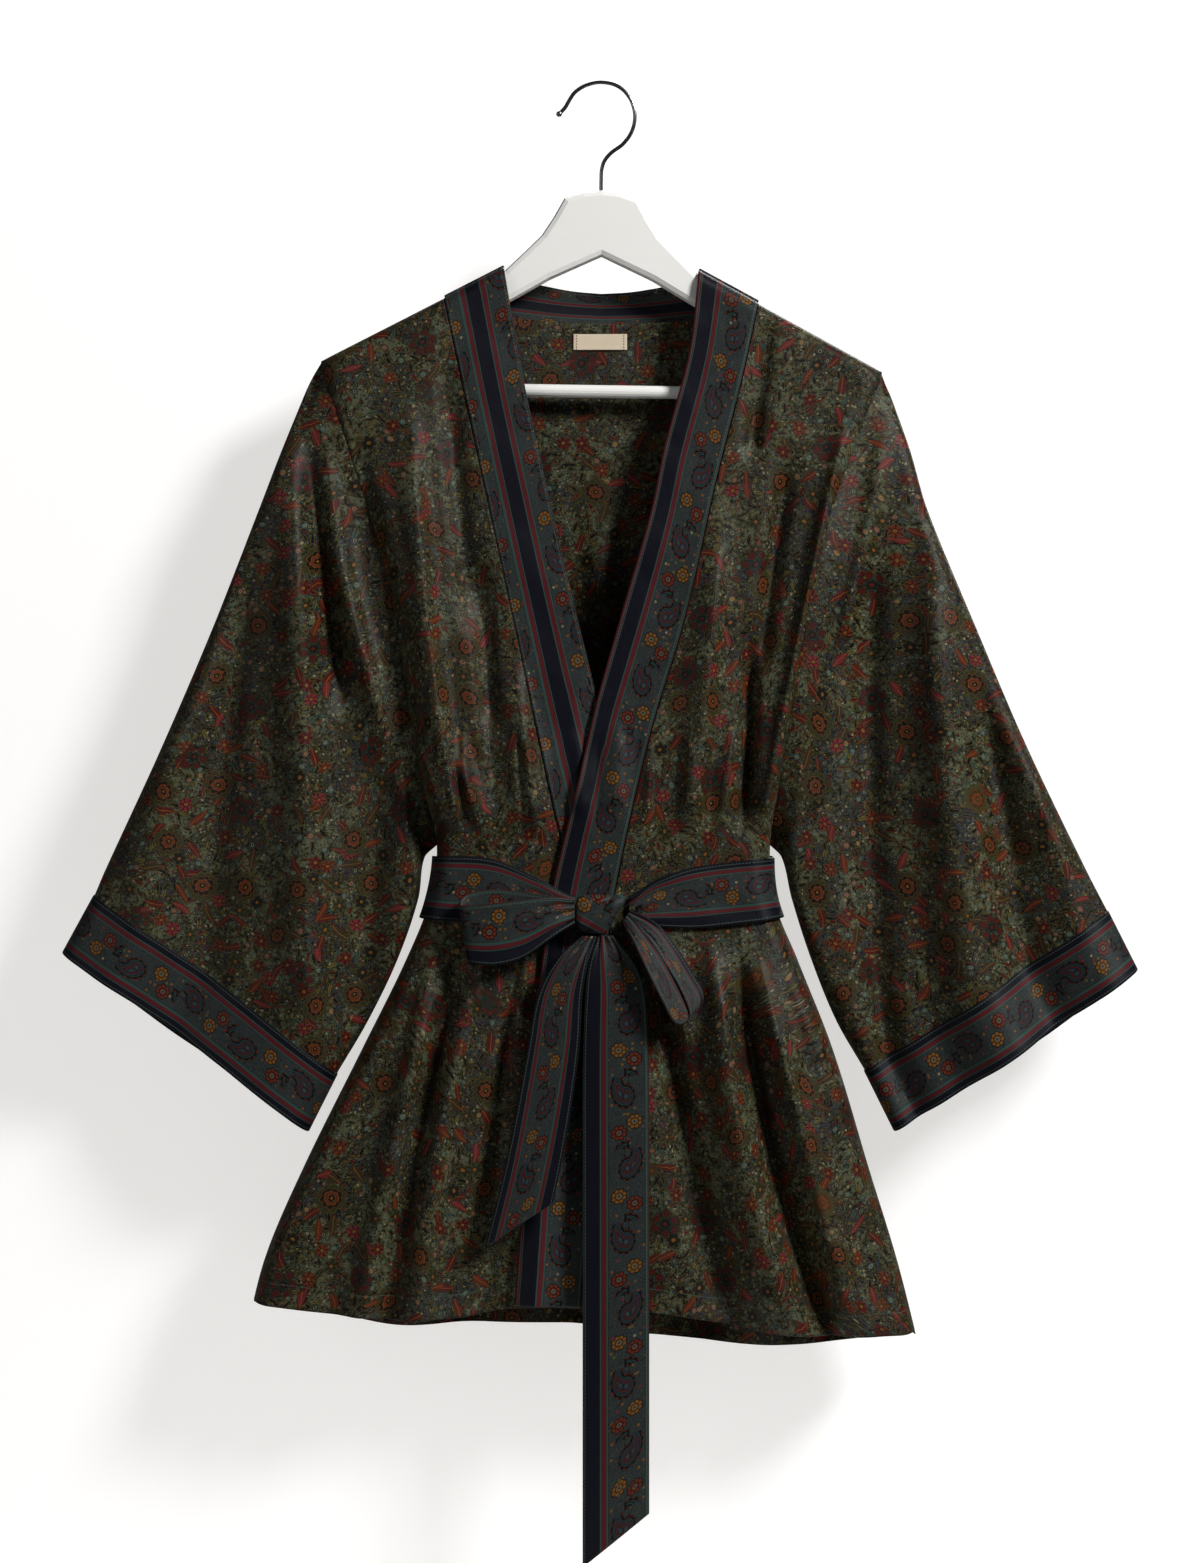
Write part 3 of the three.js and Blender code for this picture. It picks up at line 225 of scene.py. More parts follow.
def rounding(steps: Array, edge: float) -> Array:
    """Share of the wall at each step: a quarter circle at each end and 1 between."""
    if not edge:
        return np.ones(len(steps))
    near = np.clip(np.minimum(steps, 1 - steps) / edge, 0.0, 1.0)
    return np.sqrt(1 - (1 - near) ** 2)


@dataclass
class Weave:
    """How one piece's grid is cut: steps across and down, the shares that round its edges, and its wall."""

    across: Array
    down: Array
    edge_across: float
    edge_down: float
    wall: float
    lift: float
    ring: bool = False
    turn: bool = False
    keep: Callable[[Array], Array] = staticmethod(lambda y: y)
    sewn: str = "hem"


def running(points: Array, axis: int) -> Array:
    """Length along the rows (axis 1) or the columns (axis 0) of a grid, 0 at the first point."""
    start = np.zeros_like(np.take(points[..., 0], [0], axis))
    return np.concatenate([start, np.cumsum(np.linalg.norm(np.diff(points, axis=axis), axis=-1), axis)], axis)


def corners(grid: Array) -> tuple[Array, Array, Array, Array]:
    """The four corners of each of a grid's cells: first, next across, opposite, next down."""
    return grid[:-1, :-1], grid[:-1, 1:], grid[1:, 1:], grid[1:, :-1]


def sewing(grid: Array, edges: str) -> Array:
    """Where each point lies beside the stitched edges: metres from the nearest, and metres along it.

    Args:
        grid: points in millimetres, row by row.
        edges: "hem" for the last row, "sides" for the first and last columns, "ends" for the first and
            last rows, or "none".

    Returns:
        Both lengths at each point.
    """
    across, down = running(grid, 1), running(grid, 0)
    if edges == "sides":
        return np.stack([np.minimum(across, across[:, -1:] - across), down], 2) * MM
    if edges == "none":
        return np.ones_like(grid[..., :2])
    left = down[-1:] - down
    return np.stack([left if edges == "hem" else np.minimum(down, left), across], 2) * MM


def cloth_shell(
    place: Place, weave: Weave, print_at: Callable[[Array], Array]
) -> tuple[Array, Array, Array, Array]:
    """Makes a thin closed shell from a surface of two parameters.

    The surface is sampled on the grid, and each sample moves along its normal by half the wall each
    way from the middle of the wall. The half wall shrinks as a quarter circle towards an open edge,
    where the outside and the inside share their points.

    Args:
        place: gives a point in millimetres for arrays of across and down.
        weave: the grid and the wall.
        print_at: gives the printed pattern's place, in metres, from the grid of points.

    Returns:
        The points in metres, the quads, and the pattern's and the sewing's places at their corners.
    """
    u, v = np.meshgrid(weave.across[:-1] if weave.ring else weave.across, weave.down)
    grid = place(u, v)
    if weave.ring:
        right, left = np.roll(grid, -1, 1), np.roll(grid, 1, 1)
    else:
        right = np.concatenate([grid[:, 1:], 2 * grid[:, -1:] - grid[:, -2:-1]], 1)
        left = np.concatenate([2 * grid[:, :1] - grid[:, 1:2], grid[:, :-1]], 1)
    below = np.concatenate([grid[1:], 2 * grid[-1:] - grid[-2:-1]], 0)
    above = np.concatenate([2 * grid[:1] - grid[1:2], grid[:-1]], 0)
    normal = np.cross(below - above, right - left)
    normal /= np.maximum(np.linalg.norm(normal, axis=2, keepdims=True), 1e-9)
    if weave.turn:
        normal = -normal
    share = rounding(weave.down, weave.edge_down)[:, None] * np.ones_like(u)
    if not weave.ring:
        share = np.minimum(share, rounding(weave.across, weave.edge_across)[None, :])
    half = (weave.wall / 2 * share)[..., None]
    middle = grid + normal * (weave.lift + weave.wall / 2)
    outside, inside = middle + normal * half, middle - normal * half
    for layer in (outside, inside):
        layer[..., 1] = weave.keep(layer[..., 1])
    flat, sewn = print_at(grid), sewing(grid, weave.sewn)
    rows, columns = u.shape
    count = rows * columns
    outer = np.arange(count).reshape(rows, columns)
    inner = outer + count
    shared = share < 1e-6
    inner = np.where(shared, outer, inner)
    if weave.ring:
        outer, inner = (np.concatenate([n, n[:, :1]], 1) for n in (outer, inner))
    a, b, c, d = (n.ravel() for n in corners(outer))
    e, f, g, h = (n.ravel() for n in corners(inner))
    quads = np.concatenate([np.stack([a, d, c, b], 1), np.stack([e, f, g, h], 1)])
    if weave.turn:
        quads = quads[:, ::-1]
    if weave.ring:
        sewn = np.concatenate([sewn, sewn[:, -1:] + [0, MM]], 1)
    if weave.ring and flat.shape[1] == columns:
        flat = np.concatenate([flat, flat[:, :1]], 1)
        flat[:, -1, 0] = flat[:, -2, 0] + np.linalg.norm(grid[:, 0] - grid[:, -1], axis=1) * MM
    order = [0, 3, 2, 1]
    at_corners = [np.stack([n.reshape(-1, 2) for n in corners(m)], 1) for m in (flat, sewn)]
    uv, seams = (np.concatenate([m[:, order], m]) for m in at_corners)
    if weave.turn:
        uv, seams = uv[:, ::-1], seams[:, ::-1]
    points = np.concatenate([outside.reshape(-1, 3), inside.reshape(-1, 3)]) * MM
    used, quads = np.unique(quads, return_inverse=True)
    return points[used], quads.reshape(-1, 4), uv, seams


def hang(name: str, data: bpy.types.ID) -> bpy.types.Object:
    """Makes an object of a mesh, a lamp or a camera, and puts it in the scene at the origin."""
    thing = bpy.data.objects.new(name, data)
    bpy.context.scene.collection.objects.link(thing)
    return thing


def put_mesh(
    name: str, points: Array, quads: Array, uv: Array, seams: Array, material: bpy.types.Material
) -> bpy.types.Object:
    """Puts arrays into a new smooth-shaded mesh object at the origin.

    Args:
        name: the object's name.
        points: vertices in metres.
        quads: four vertex numbers a face.
        uv: four pattern places a face, in metres.
        seams: four sewing places a face, in metres.
        material: its finish.

    Returns:
        The object.
    """
    name = f"{name}_cloth"
    mesh = bpy.data.meshes.new(name)
    mesh.vertices.add(len(points))
    mesh.vertices.foreach_set("co", points.astype(np.float32).ravel())
    mesh.loops.add(quads.size)
    mesh.loops.foreach_set("vertex_index", quads.astype(np.int32).ravel())
    mesh.polygons.add(len(quads))
    mesh.polygons.foreach_set("loop_start", np.arange(0, quads.size, 4, dtype=np.int32))
    mesh.update(calc_edges=True)
    for title, places in (("cloth", uv), ("sewing", seams)):
        mesh.uv_layers.new(name=title).uv.foreach_set("vector", places.astype(np.float32).ravel())
    mesh.polygons.foreach_set("use_smooth", np.ones(len(quads), bool))
    mesh.validate()
    mesh.materials.append(material)
    return hang(name, mesh)


def grain(grid: Array, start: int = 0, offset: float = 0.0) -> Array:
    """The flat cloth's own coordinates in metres, on straight threads.

    Across is the place of one column and the lengths along the row from it, without their fall; up is the
    place of the first row and the lengths down the column, without their sideways part.

    Args:
        grid: points in millimetres, row by row.
        start: the column that across is measured from.
        offset: added to across, so that pieces don't repeat each other.

    Returns:
        Across and up at each point.
    """
    step, fall = np.diff(grid, axis=1), np.diff(grid, axis=0)
    way = np.sign(grid[0, -1, 0] - grid[0, 0, 0])
    across = np.concatenate([np.zeros((len(grid), 1)), np.cumsum(np.hypot(step[..., 0], step[..., 1]), 1)], 1)
    across = grid[:, [start], 0] + way * (across - across[:, [start]])
    steps = np.hypot(fall[..., 1], fall[..., 2])
    down = np.concatenate([np.zeros((1, grid.shape[1])), np.cumsum(steps, 0)], 0)
    return np.stack([across * MM + offset, (grid[:1, :, 2] - down) * MM], 2)


def strip_print(first: float, last: float, shift: float, lengthwise: int = 0) -> Callable[[Array], Array]:
    """The border's own coordinates on a strip: across from first to last millimetre, and along its length.

    Args:
        first: the border's place across at the grid's first column, or first row.
        last: the same at its last column or row.
        shift: added to the place along, in millimetres.
        lengthwise: 0 where the strip runs down the grid's rows, 1 where it runs across its columns.

    Returns:
        A function from the grid of points to across and along, in metres.
    """

    def place(grid: Array) -> Array:
        """Across is even, and along is the middle line's length."""
        work = grid if lengthwise == 0 else grid.transpose(1, 0, 2)
        wide = running(work, 1)
        share = wide / np.maximum(wide[:, -1:], 1e-9)
        middle = work[:, work.shape[1] // 2]
        run = running(middle, 0) + shift
        flat = np.stack([mix(first, last, share), np.broadcast_to(run[:, None], share.shape)], 2) * MM
        return flat if lengthwise == 0 else flat.transpose(1, 0, 2)

    return place


# Shader helpers

Number = Union[float, "Wire"]


class Wire:
    """A value on its way between shader nodes. Arithmetic on it adds Math nodes."""

    def __init__(self, web: "Web", end: bpy.types.NodeSocket) -> None:
        """Keeps the node tree's helper and the socket that the value comes from."""
        self.web, self.end = web, end

    def math(self, operation: str, *others: Number, first: bool = True) -> "Wire":
        """Adds a Math node with this value first, or second where first is False."""
        values = [self, *others] if first else [*others, self]
        return self.web.node("ShaderNodeMath", {"operation": operation}, dict(enumerate(values)))[0]

    def __add__(self, other: Number) -> "Wire":
        """Sum."""
        return self.math("ADD", other)

    __radd__ = __add__

    def __sub__(self, other: Number) -> "Wire":
        """Difference."""
        return self.math("SUBTRACT", other)

    def __rsub__(self, other: Number) -> "Wire":
        """Difference, the other way round."""
        return self.math("SUBTRACT", other, first=False)

    def __mul__(self, other: Number) -> "Wire":
        """Product."""
        return self.math("MULTIPLY", other)

    __rmul__ = __mul__

    def __truediv__(self, other: Number) -> "Wire":
        """Quotient."""
        return self.math("DIVIDE", other)

    def __rtruediv__(self, other: Number) -> "Wire":
        """Quotient, the other way round."""
        return self.math("DIVIDE", other, first=False)

    def __abs__(self) -> "Wire":
        """Size without its sign."""
        return self.math("ABSOLUTE")

    def __pow__(self, power: Number) -> "Wire":
        """Power."""
        return self.math("POWER", power)

    def least(self, other: Number) -> "Wire":
        """The smaller of the two."""
        return self.math("MINIMUM", other)

    def most(self, other: Number) -> "Wire":
        """The larger of the two."""
        return self.math("MAXIMUM", other)

    def above(self, edge: Number, soft: float) -> "Wire":
        """1 where this is above edge and 0 below, over a soft width."""
        return ((self - edge) * (1.0 / soft) + 0.5).math("MAXIMUM", 0.0).math("MINIMUM", 1.0)

    def below(self, edge: Number, soft: float) -> "Wire":
        """1 where this is below edge and 0 above, over a soft width."""
        return ((self - edge) * (-1.0 / soft) + 0.5).math("MAXIMUM", 0.0).math("MINIMUM", 1.0)

    def near(self, middle: Number, half: float, soft: float) -> "Wire":
        """1 within half of the middle, 0 outside."""
        return abs(self - middle).below(half, soft)


class Web:
    """A material's node tree, and the one method that adds nodes to it."""

    def __init__(self, name: str) -> None:
        """Starts a material with a single shader."""
        self.material = bpy.data.materials.new(name)
        self.material.use_nodes = True
        self.tree = self.material.node_tree
        self.shader = self.tree.nodes["Principled BSDF"]

    def node(self, kind: str, settings: dict, values: dict) -> list[Wire]:
        """Adds a node, sets it up, then fills its sockets.

        Args:
            kind: Blender's node type.
            settings: attributes, and "stops" for a ramp's (place, colour) pairs.
            values: numbers, colours or wires, by socket name or number.

        Returns:
            The node's outputs.
        """
        made = self.tree.nodes.new(kind)
        for key, value in settings.items():
            if key == "stops":
                ramp = made.color_ramp
                while len(ramp.elements) < len(value):
                    ramp.elements.new(1.0)
                for element, (place, colour) in zip(ramp.elements, value):
                    element.position = place
                    element.color = (*colour, 1.0) if len(colour) == 3 else colour
            elif key == "ramp":
                made.color_ramp.interpolation = value
            else:
                setattr(made, key, value)
        for key, value in values.items():
            socket = made.inputs[key]
            if isinstance(value, Wire):
                self.tree.links.new(value.end, socket)
            elif isinstance(value, (tuple, list)):
                socket.default_value = (*value, 1.0) if socket.type == "RGBA" and len(value) == 3 else value
            else:
                socket.default_value = value
        return [Wire(self, out) for out in made.outputs]

    def vector(self, operation: str, a: Number, b: Number = (0.0, 0.0, 0.0)) -> Wire:
        """Vector Math on two vectors."""
        return self.node("ShaderNodeVectorMath", {"operation": operation}, {0: a, 1: b})[0]

    def apart(self, vector: Wire) -> tuple[Wire, Wire]:
        """The first two numbers of a vector."""
        x, y, _ = self.node("ShaderNodeSeparateXYZ", {}, {0: vector})
        return x, y

    def blend(self, factor: Number, a: Union[Wire, tuple], b: Union[Wire, tuple], how: str = "MIX") -> Wire:
        """Colour a where factor is 0, and colour b where it is 1."""
        outs = self.node("ShaderNodeMix", {"data_type": "RGBA", "blend_type": how}, {0: factor, 6: a, 7: b})
        return outs[2]

    def noise(
        self, vector: Wire, scale: float, detail: float = 2.0, distortion: float = 0.0
    ) -> tuple[Wire, Wire]:
        """Soft noise: its value and its colour."""
        outs = self.node(
            "ShaderNodeTexNoise", {"noise_dimensions": "2D"},
            {"Vector": vector, "Scale": scale, "Detail": detail, "Distortion": distortion}
        )
        return outs[0], outs[1]

    def ramp(self, value: Wire, stops: Sequence[tuple[float, tuple]], how: str = "LINEAR") -> Wire:
        """A colour for each value."""
        return self.node("ShaderNodeValToRGB", {"ramp": how, "stops": stops}, {0: value})[0]

    def finish(
        self, colour: Wire, rough: Union[Wire, float], height: Union[Wire, None], depth: float,
        strength: float = 1.0
    ) -> bpy.types.Material:
        """Feeds the shader.

        Args:
            colour: base colour.
            rough: roughness.
            height: bump height from 0 to 1, or None.
            depth: metres of bump for a height of 1.
            strength: share of the bump that shows.

        Returns:
            The material.
        """
        self.tree.links.new(colour.end, self.shader.inputs["Base Color"])
        if isinstance(rough, Wire):
            self.tree.links.new(rough.end, self.shader.inputs["Roughness"])
        else:
            self.shader.inputs["Roughness"].default_value = rough
        if height is not None:
            made = {"Strength": strength, "Distance": depth, "Height": height}
            bump = self.node("ShaderNodeBump", {}, made)[0]
            self.tree.links.new(bump.end, self.shader.inputs["Normal"])
        return self.material

    def shine(self, **values: float) -> None:
        """Sets the shader's own sockets, such as Sheen_Weight, that are the same all over."""
        for key, value in values.items():
            self.shader.inputs[key.replace("_", " ")].default_value = value


def srgb(*screen: float) -> tuple[float, ...]:
    """A linear colour from the red, green and blue, 0 to 255, that a screen shows."""
    shares = [number / 255 for number in screen]
    return tuple(c / 12.92 if c <= 0.04045 else ((c + 0.055) / 1.055) ** 2.4 for c in shares)


# Finishes


@dataclass(frozen=True)
class Dyes:
    """The colours of the printed cloth, as a screen shows them."""

    slate: tuple = srgb(33, 37, 46)
    sage: tuple = srgb(80, 85, 66)
    bark: tuple = srgb(18, 16, 9)
    ink: tuple = srgb(6, 6, 7)
    moss: tuple = srgb(38, 38, 20)
    olive: tuple = srgb(78, 70, 34)
    cream: tuple = srgb(112, 106, 80)
    cloud: tuple = srgb(66, 80, 72)
    ochre: tuple = srgb(100, 64, 22)
    rust: tuple = srgb(84, 32, 16)
    red: tuple = srgb(70, 15, 13)
    rose: tuple = srgb(96, 28, 34)
    teal: tuple = srgb(38, 60, 55)
    navy: tuple = srgb(7, 8, 18)
    burgundy: tuple = srgb(68, 20, 25)


DYES = Dyes()


@dataclass(frozen=True)
class Satin:
    """The sheen, weave and small crinkles that every printed piece shares."""

    thread: float = 0.00045
    stitch_in: float = 0.018
    stitch_long: float = 0.0026
    rough: float = 0.5
    sheen: float = 0.012

    def dress(self, web: Web, flat: Wire, colour: Wire) -> bpy.types.Material:
        """Adds weave, crinkle and uneven sheen to a printed colour.

        Args:
            web: the material's nodes.
            flat: the cloth's own coordinates in metres.
            colour: the print.

        Returns:
            The material.
        """
        x, y = web.apart(flat)
        twill = ((x + y * 0.5) * (2 * math.pi / self.thread)).math("SINE") * 0.5 + 0.5
        weft = (y * (2 * math.pi / (1.7 * self.thread))).math("SINE") * 0.5 + 0.5
        slub, _ = web.noise(flat, 420.0, 3.0, 0.4)
        crinkle, _ = web.noise(flat, 70.0, 3.0, 0.8)
        wear, _ = web.noise(flat, 11.0, 4.0)
        height = twill * 0.12 + weft * 0.08 + slub * 0.3 + crinkle * 0.5
        lit = web.blend(
            twill * 0.10 + slub * 0.14, colour, web.blend(1.0, colour, (1.35, 1.33, 1.3), "MULTIPLY")
        )
        lit = web.blend((wear - 0.45) * 0.5, lit, web.blend(1.0, lit, (1.3, 1.28, 1.24), "MULTIPLY"))
        beside, along = web.apart(web.node("ShaderNodeUVMap", {"uv_map": "sewing"}, {})[0])
        row = beside.near(self.stitch_in, 0.0003, 0.0003)
        thread = row * (along * (2 * math.pi / self.stitch_long)).math("SINE").above(-0.6, 0.4)
        # painted shade: the stitching's groove (row) is darkened towards ink; the cloth is also darker within
        # about a millimetre of each stitched edge
        lit = web.blend(beside.below(0.0012, 0.0016) * 0.5 + row * 0.35, lit, DYES.ink)
        lit = web.blend(thread * 0.8, lit, DYES.cloud)
        height = height + thread * 0.9 - row * 0.8
        rough = self.rough + (slub - 0.5) * 0.16 + (crinkle - 0.5) * 0.14
        web.shine(Sheen_Weight=self.sheen, Sheen_Roughness=0.4, Specular_IOR_Level=0.14)
        return web.finish(lit, rough, height, 0.00045, 0.5)


@dataclass(frozen=True)
class MilleFleur:
    """The robe's ground print: palmettes, berry rings, stars, leaves and curling line work."""

    satin: Satin = Satin()

    def cells(
        self, web: Web, flat: Wire, size: float, loose: float, shift: float
    ) -> tuple[Wire, Wire, Wire, Wire, Wire, Wire]:
        """Scatters one motif a cell, each turned its own way.

        Args:
            web: the material's nodes.
            flat: the cloth's coordinates in metres.
            size: about the distance between motifs, in millimetres.
            loose: 0 for a square lattice, 1 for a random one.
            shift: moves the layer.

        Returns:
            Across and up from the motif's middle in millimetres, the distance, the angle, and two
            random numbers.
        """
        place = web.vector("MULTIPLY", flat, (1000 / size, 1000 / size, 0.0))
        place = web.vector("ADD", place, (shift, shift * 1.7, 0.0))
        outs = web.node(
            "ShaderNodeTexVoronoi", {"voronoi_dimensions": "2D", "feature": "F1"},
            {"Vector": place, "Scale": 1.0, "Randomness": loose}
        )
        spin, b, c = web.node("ShaderNodeSeparateColor", {}, {0: outs[1]})
        local = web.vector("MULTIPLY", web.vector("SUBTRACT", place, outs[2]), (size, size, 0.0))
        local = web.node(
            "ShaderNodeVectorRotate", {"rotation_type": "Z_AXIS"}, {"Vector": local, "Angle": spin * 6.28}
        )[0]
        x, y = web.apart(local)
        return x, y, outs[0] * size, y.math("ARCTAN2", x), b, c

    def stamp(
        self, web: Web, under: Wire, edge: Wire, shown: Wire, fill: Union[Wire, tuple], line: tuple,
        width: float
    ) -> Wire:
        """Prints one motif over a colour: a dark halo, a drawn outline, then its fill.

        Args:
            web: the material's nodes.
            under: the colour so far.
            edge: distance from the motif's edge in millimetres, less than 0 inside.
            shown: 1 where the cell has a motif.
            fill: colour inside.
            line: colour of the outline.
            width: the outline's width in millimetres.

        Returns:
            The colour with the motif on it.
        """
        under = web.blend(edge.below(width + 0.45, 0.5) * shown * 0.85, under, DYES.ink)
        under = web.blend(edge.below(width, 0.35) * shown, under, line)
        return web.blend(edge.below(0.0, 0.3) * shown, under, fill)

    def leaf(self, x: Wire, y: Wire, long: float, wide: float) -> Wire:
        """Distance outside a pointed leaf: how far y is beyond an arch over its length."""
        return abs(y) - (1.0 - (x / long) * (x / long)) * wide

    def flower(self, far: Wire, turn: Wire, petals: int, radius: float, cut: float) -> Wire:
        """Distance outside a flower whose petals are rounded lobes of its edge."""
        lobe = abs((turn * (petals / 2.0)).math("SINE"))
        return far - ((lobe**0.55) * (cut * radius) + (1 - cut) * radius)

    def make(self, name: str) -> bpy.types.Material:
        """Layers the print from the ground up."""
        web = Web(name)
        flat = web.node("ShaderNodeUVMap", {"uv_map": "cloth"}, {})[0]
        _, push = web.noise(flat, 80.0, 2.0)
        bent = web.vector(
            "ADD", flat,
            web.vector("MULTIPLY", web.vector("SUBTRACT", push, (0.5, 0.5, 0.5)), (0.004, 0.004, 0.0))
        )
        # ground patches with broken edges
        patch, _ = web.noise(flat, 15.0, 2.0, 0.5)
        mottle, _ = web.noise(flat, 420.0, 4.0, 0.6)
        tone = patch * 0.68 + mottle * 0.32
        ground = web.ramp(
            tone,
            [
                (0.33, DYES.sage), (0.39, DYES.slate), (0.44, DYES.slate), (0.475, DYES.bark),
                (0.495, DYES.bark), (0.535, DYES.sage), (0.585, DYES.sage), (0.625, DYES.bark),
                (0.67, DYES.slate)
            ]
        )
        # curling lines
        swirl, _ = web.noise(bent, 150.0, 1.0, 1.4)
        curl = (swirl * 9.0).math("FRACT")
        colour = web.blend(curl.near(0.5, 0.13, 0.1) * 0.8, ground, DYES.ink)
        colour = web.blend(curl.near(0.12, 0.08, 0.08) * 0.8, colour, DYES.olive)
        # foliage
        for size, shift, long, wide in ((6.4, 2.3, 3.4, 0.8), (9.0, 9.1, 4.8, 1.2)):
            x, y, far, turn, b, c = self.cells(web, bent, size, 0.9, shift)
            hue = web.ramp(
                b,
                [
                    (0.0, DYES.bark), (0.3, DYES.moss), (0.5, DYES.ink), (0.7, DYES.teal),
                    (0.78, DYES.olive), (0.86, DYES.red)
                ],
                "CONSTANT"
            )
            hue = web.blend(abs(y).below(0.22, 0.2), hue, DYES.ink)
            colour = self.stamp(
                web, colour, self.leaf(x, y, long, wide), c.above(0.28, 0.02), hue, DYES.olive, 0.32
            )
        # seeds
        x, y, far, turn, b, c = self.cells(web, bent, 2.9, 0.9, 4.4)
        hue = web.ramp(
            b, [(0.0, DYES.ink), (0.4, DYES.olive), (0.62, DYES.red), (0.78, DYES.teal), (0.9, DYES.cream)],
            "CONSTANT"
        )
        colour = web.blend(far.below(c * 0.9 + 0.2, 0.3) * 0.85, colour, hue)
        # seed rings and small rosettes
        x, y, far, turn, b, c = self.cells(web, bent, 9.5, 0.85, 3.1)
        hue = web.ramp(
            b, [(0.0, DYES.bark), (0.3, DYES.teal), (0.5, DYES.rust), (0.7, DYES.ink), (0.92, DYES.ochre)],
            "CONSTANT"
        )
        hue = web.blend(far.near(1.0, 0.22, 0.25), hue, DYES.cream)
        colour = self.stamp(
            web, colour, self.flower(far, turn, 6, 2.1, 0.22), c.above(0.7, 0.02), hue, DYES.cloud, 0.28
        )
        # long red leaves with herringbone veins
        x, y, far, turn, b, c = self.cells(web, bent, 19.0, 0.9, 7.7)
        vein = (x * 2.6 + abs(y) * 3.4).math("SINE").above(0.35, 0.5)
        hue = web.ramp(
            b, [(0.0, DYES.red), (0.45, DYES.rust), (0.62, DYES.moss), (0.8, DYES.rose)], "CONSTANT"
        )
        hue = web.blend(vein * 0.55, hue, DYES.bark)
        hue = web.blend(abs(y).below(0.25, 0.2), hue, DYES.ochre)
        colour = self.stamp(web, colour, self.leaf(x, y, 8.2, 2.3), c.above(0.5, 0.02), hue, DYES.rust, 0.3)
        # star flowers
        x, y, far, turn, b, c = self.cells(web, bent, 20.0, 0.85, 11.3)
        edge = self.flower(far, turn, 6, 5.6, 0.45)
        hue = web.ramp(
            b, [(0.0, DYES.rust), (0.25, DYES.red), (0.45, DYES.moss), (0.72, DYES.bark), (0.86, DYES.rose)],
            "CONSTANT"
        )
        hue = web.blend(abs((turn * 3.0).math("COSINE")).below(0.35, 0.2), hue, DYES.bark)
        hue = web.blend(far.below(2.0, 0.3), hue, DYES.ink)
        hue = web.blend(far.below(1.4, 0.3), hue, DYES.ochre)
        colour = self.stamp(web, colour, edge, c.above(0.55, 0.02), hue, DYES.olive, 0.35)
        # berry rings
        x, y, far, turn, b, c = self.cells(web, bent, 43.0, 0.8, 5.9)
        sixth = turn.math("WRAP", math.pi / 6, -math.pi / 6)
        berry = ((far * sixth.math("COSINE") - 7.8) ** 2.0 + (far * sixth.math("SINE")) ** 2.0).math("SQRT")
        rings = b.below(0.2, 0.02)
        colour = web.blend(far.below(11.5, 1.2) * rings * 0.35, colour, DYES.ink)
        hue = web.blend(berry.near(1.5, 0.35, 0.4), DYES.red, DYES.bark)
        colour = self.stamp(web, colour, berry - 2.5, rings, hue, DYES.moss, 0.4)
        colour = self.stamp(
            web, colour, self.flower(far, turn, 6, 4.0, 0.3), rings, DYES.bark, DYES.teal, 0.3
        )
        colour = web.blend(far.below(1.3, 0.3) * rings, colour, DYES.red)
        # palmettes: rows of drawn petals round a dark heart
        shown = b.above(0.58, 0.02)
        for radius, petals, fill in (
            (11.5, 11, DYES.moss), (8.2, 9, DYES.bark), (5.0, 7, DYES.rust), (2.6, 5, DYES.ink)
        ):
            edge = self.flower(far, turn, petals, radius, 0.3)
            colour = self.stamp(
                web, colour, edge, shown, fill, DYES.ochre if radius < 9 else DYES.olive, 0.42
            )
        colour = web.blend(far.below(1.0, 0.3) * shown, colour, DYES.ochre)
        return self.satin.dress(web, flat, colour)


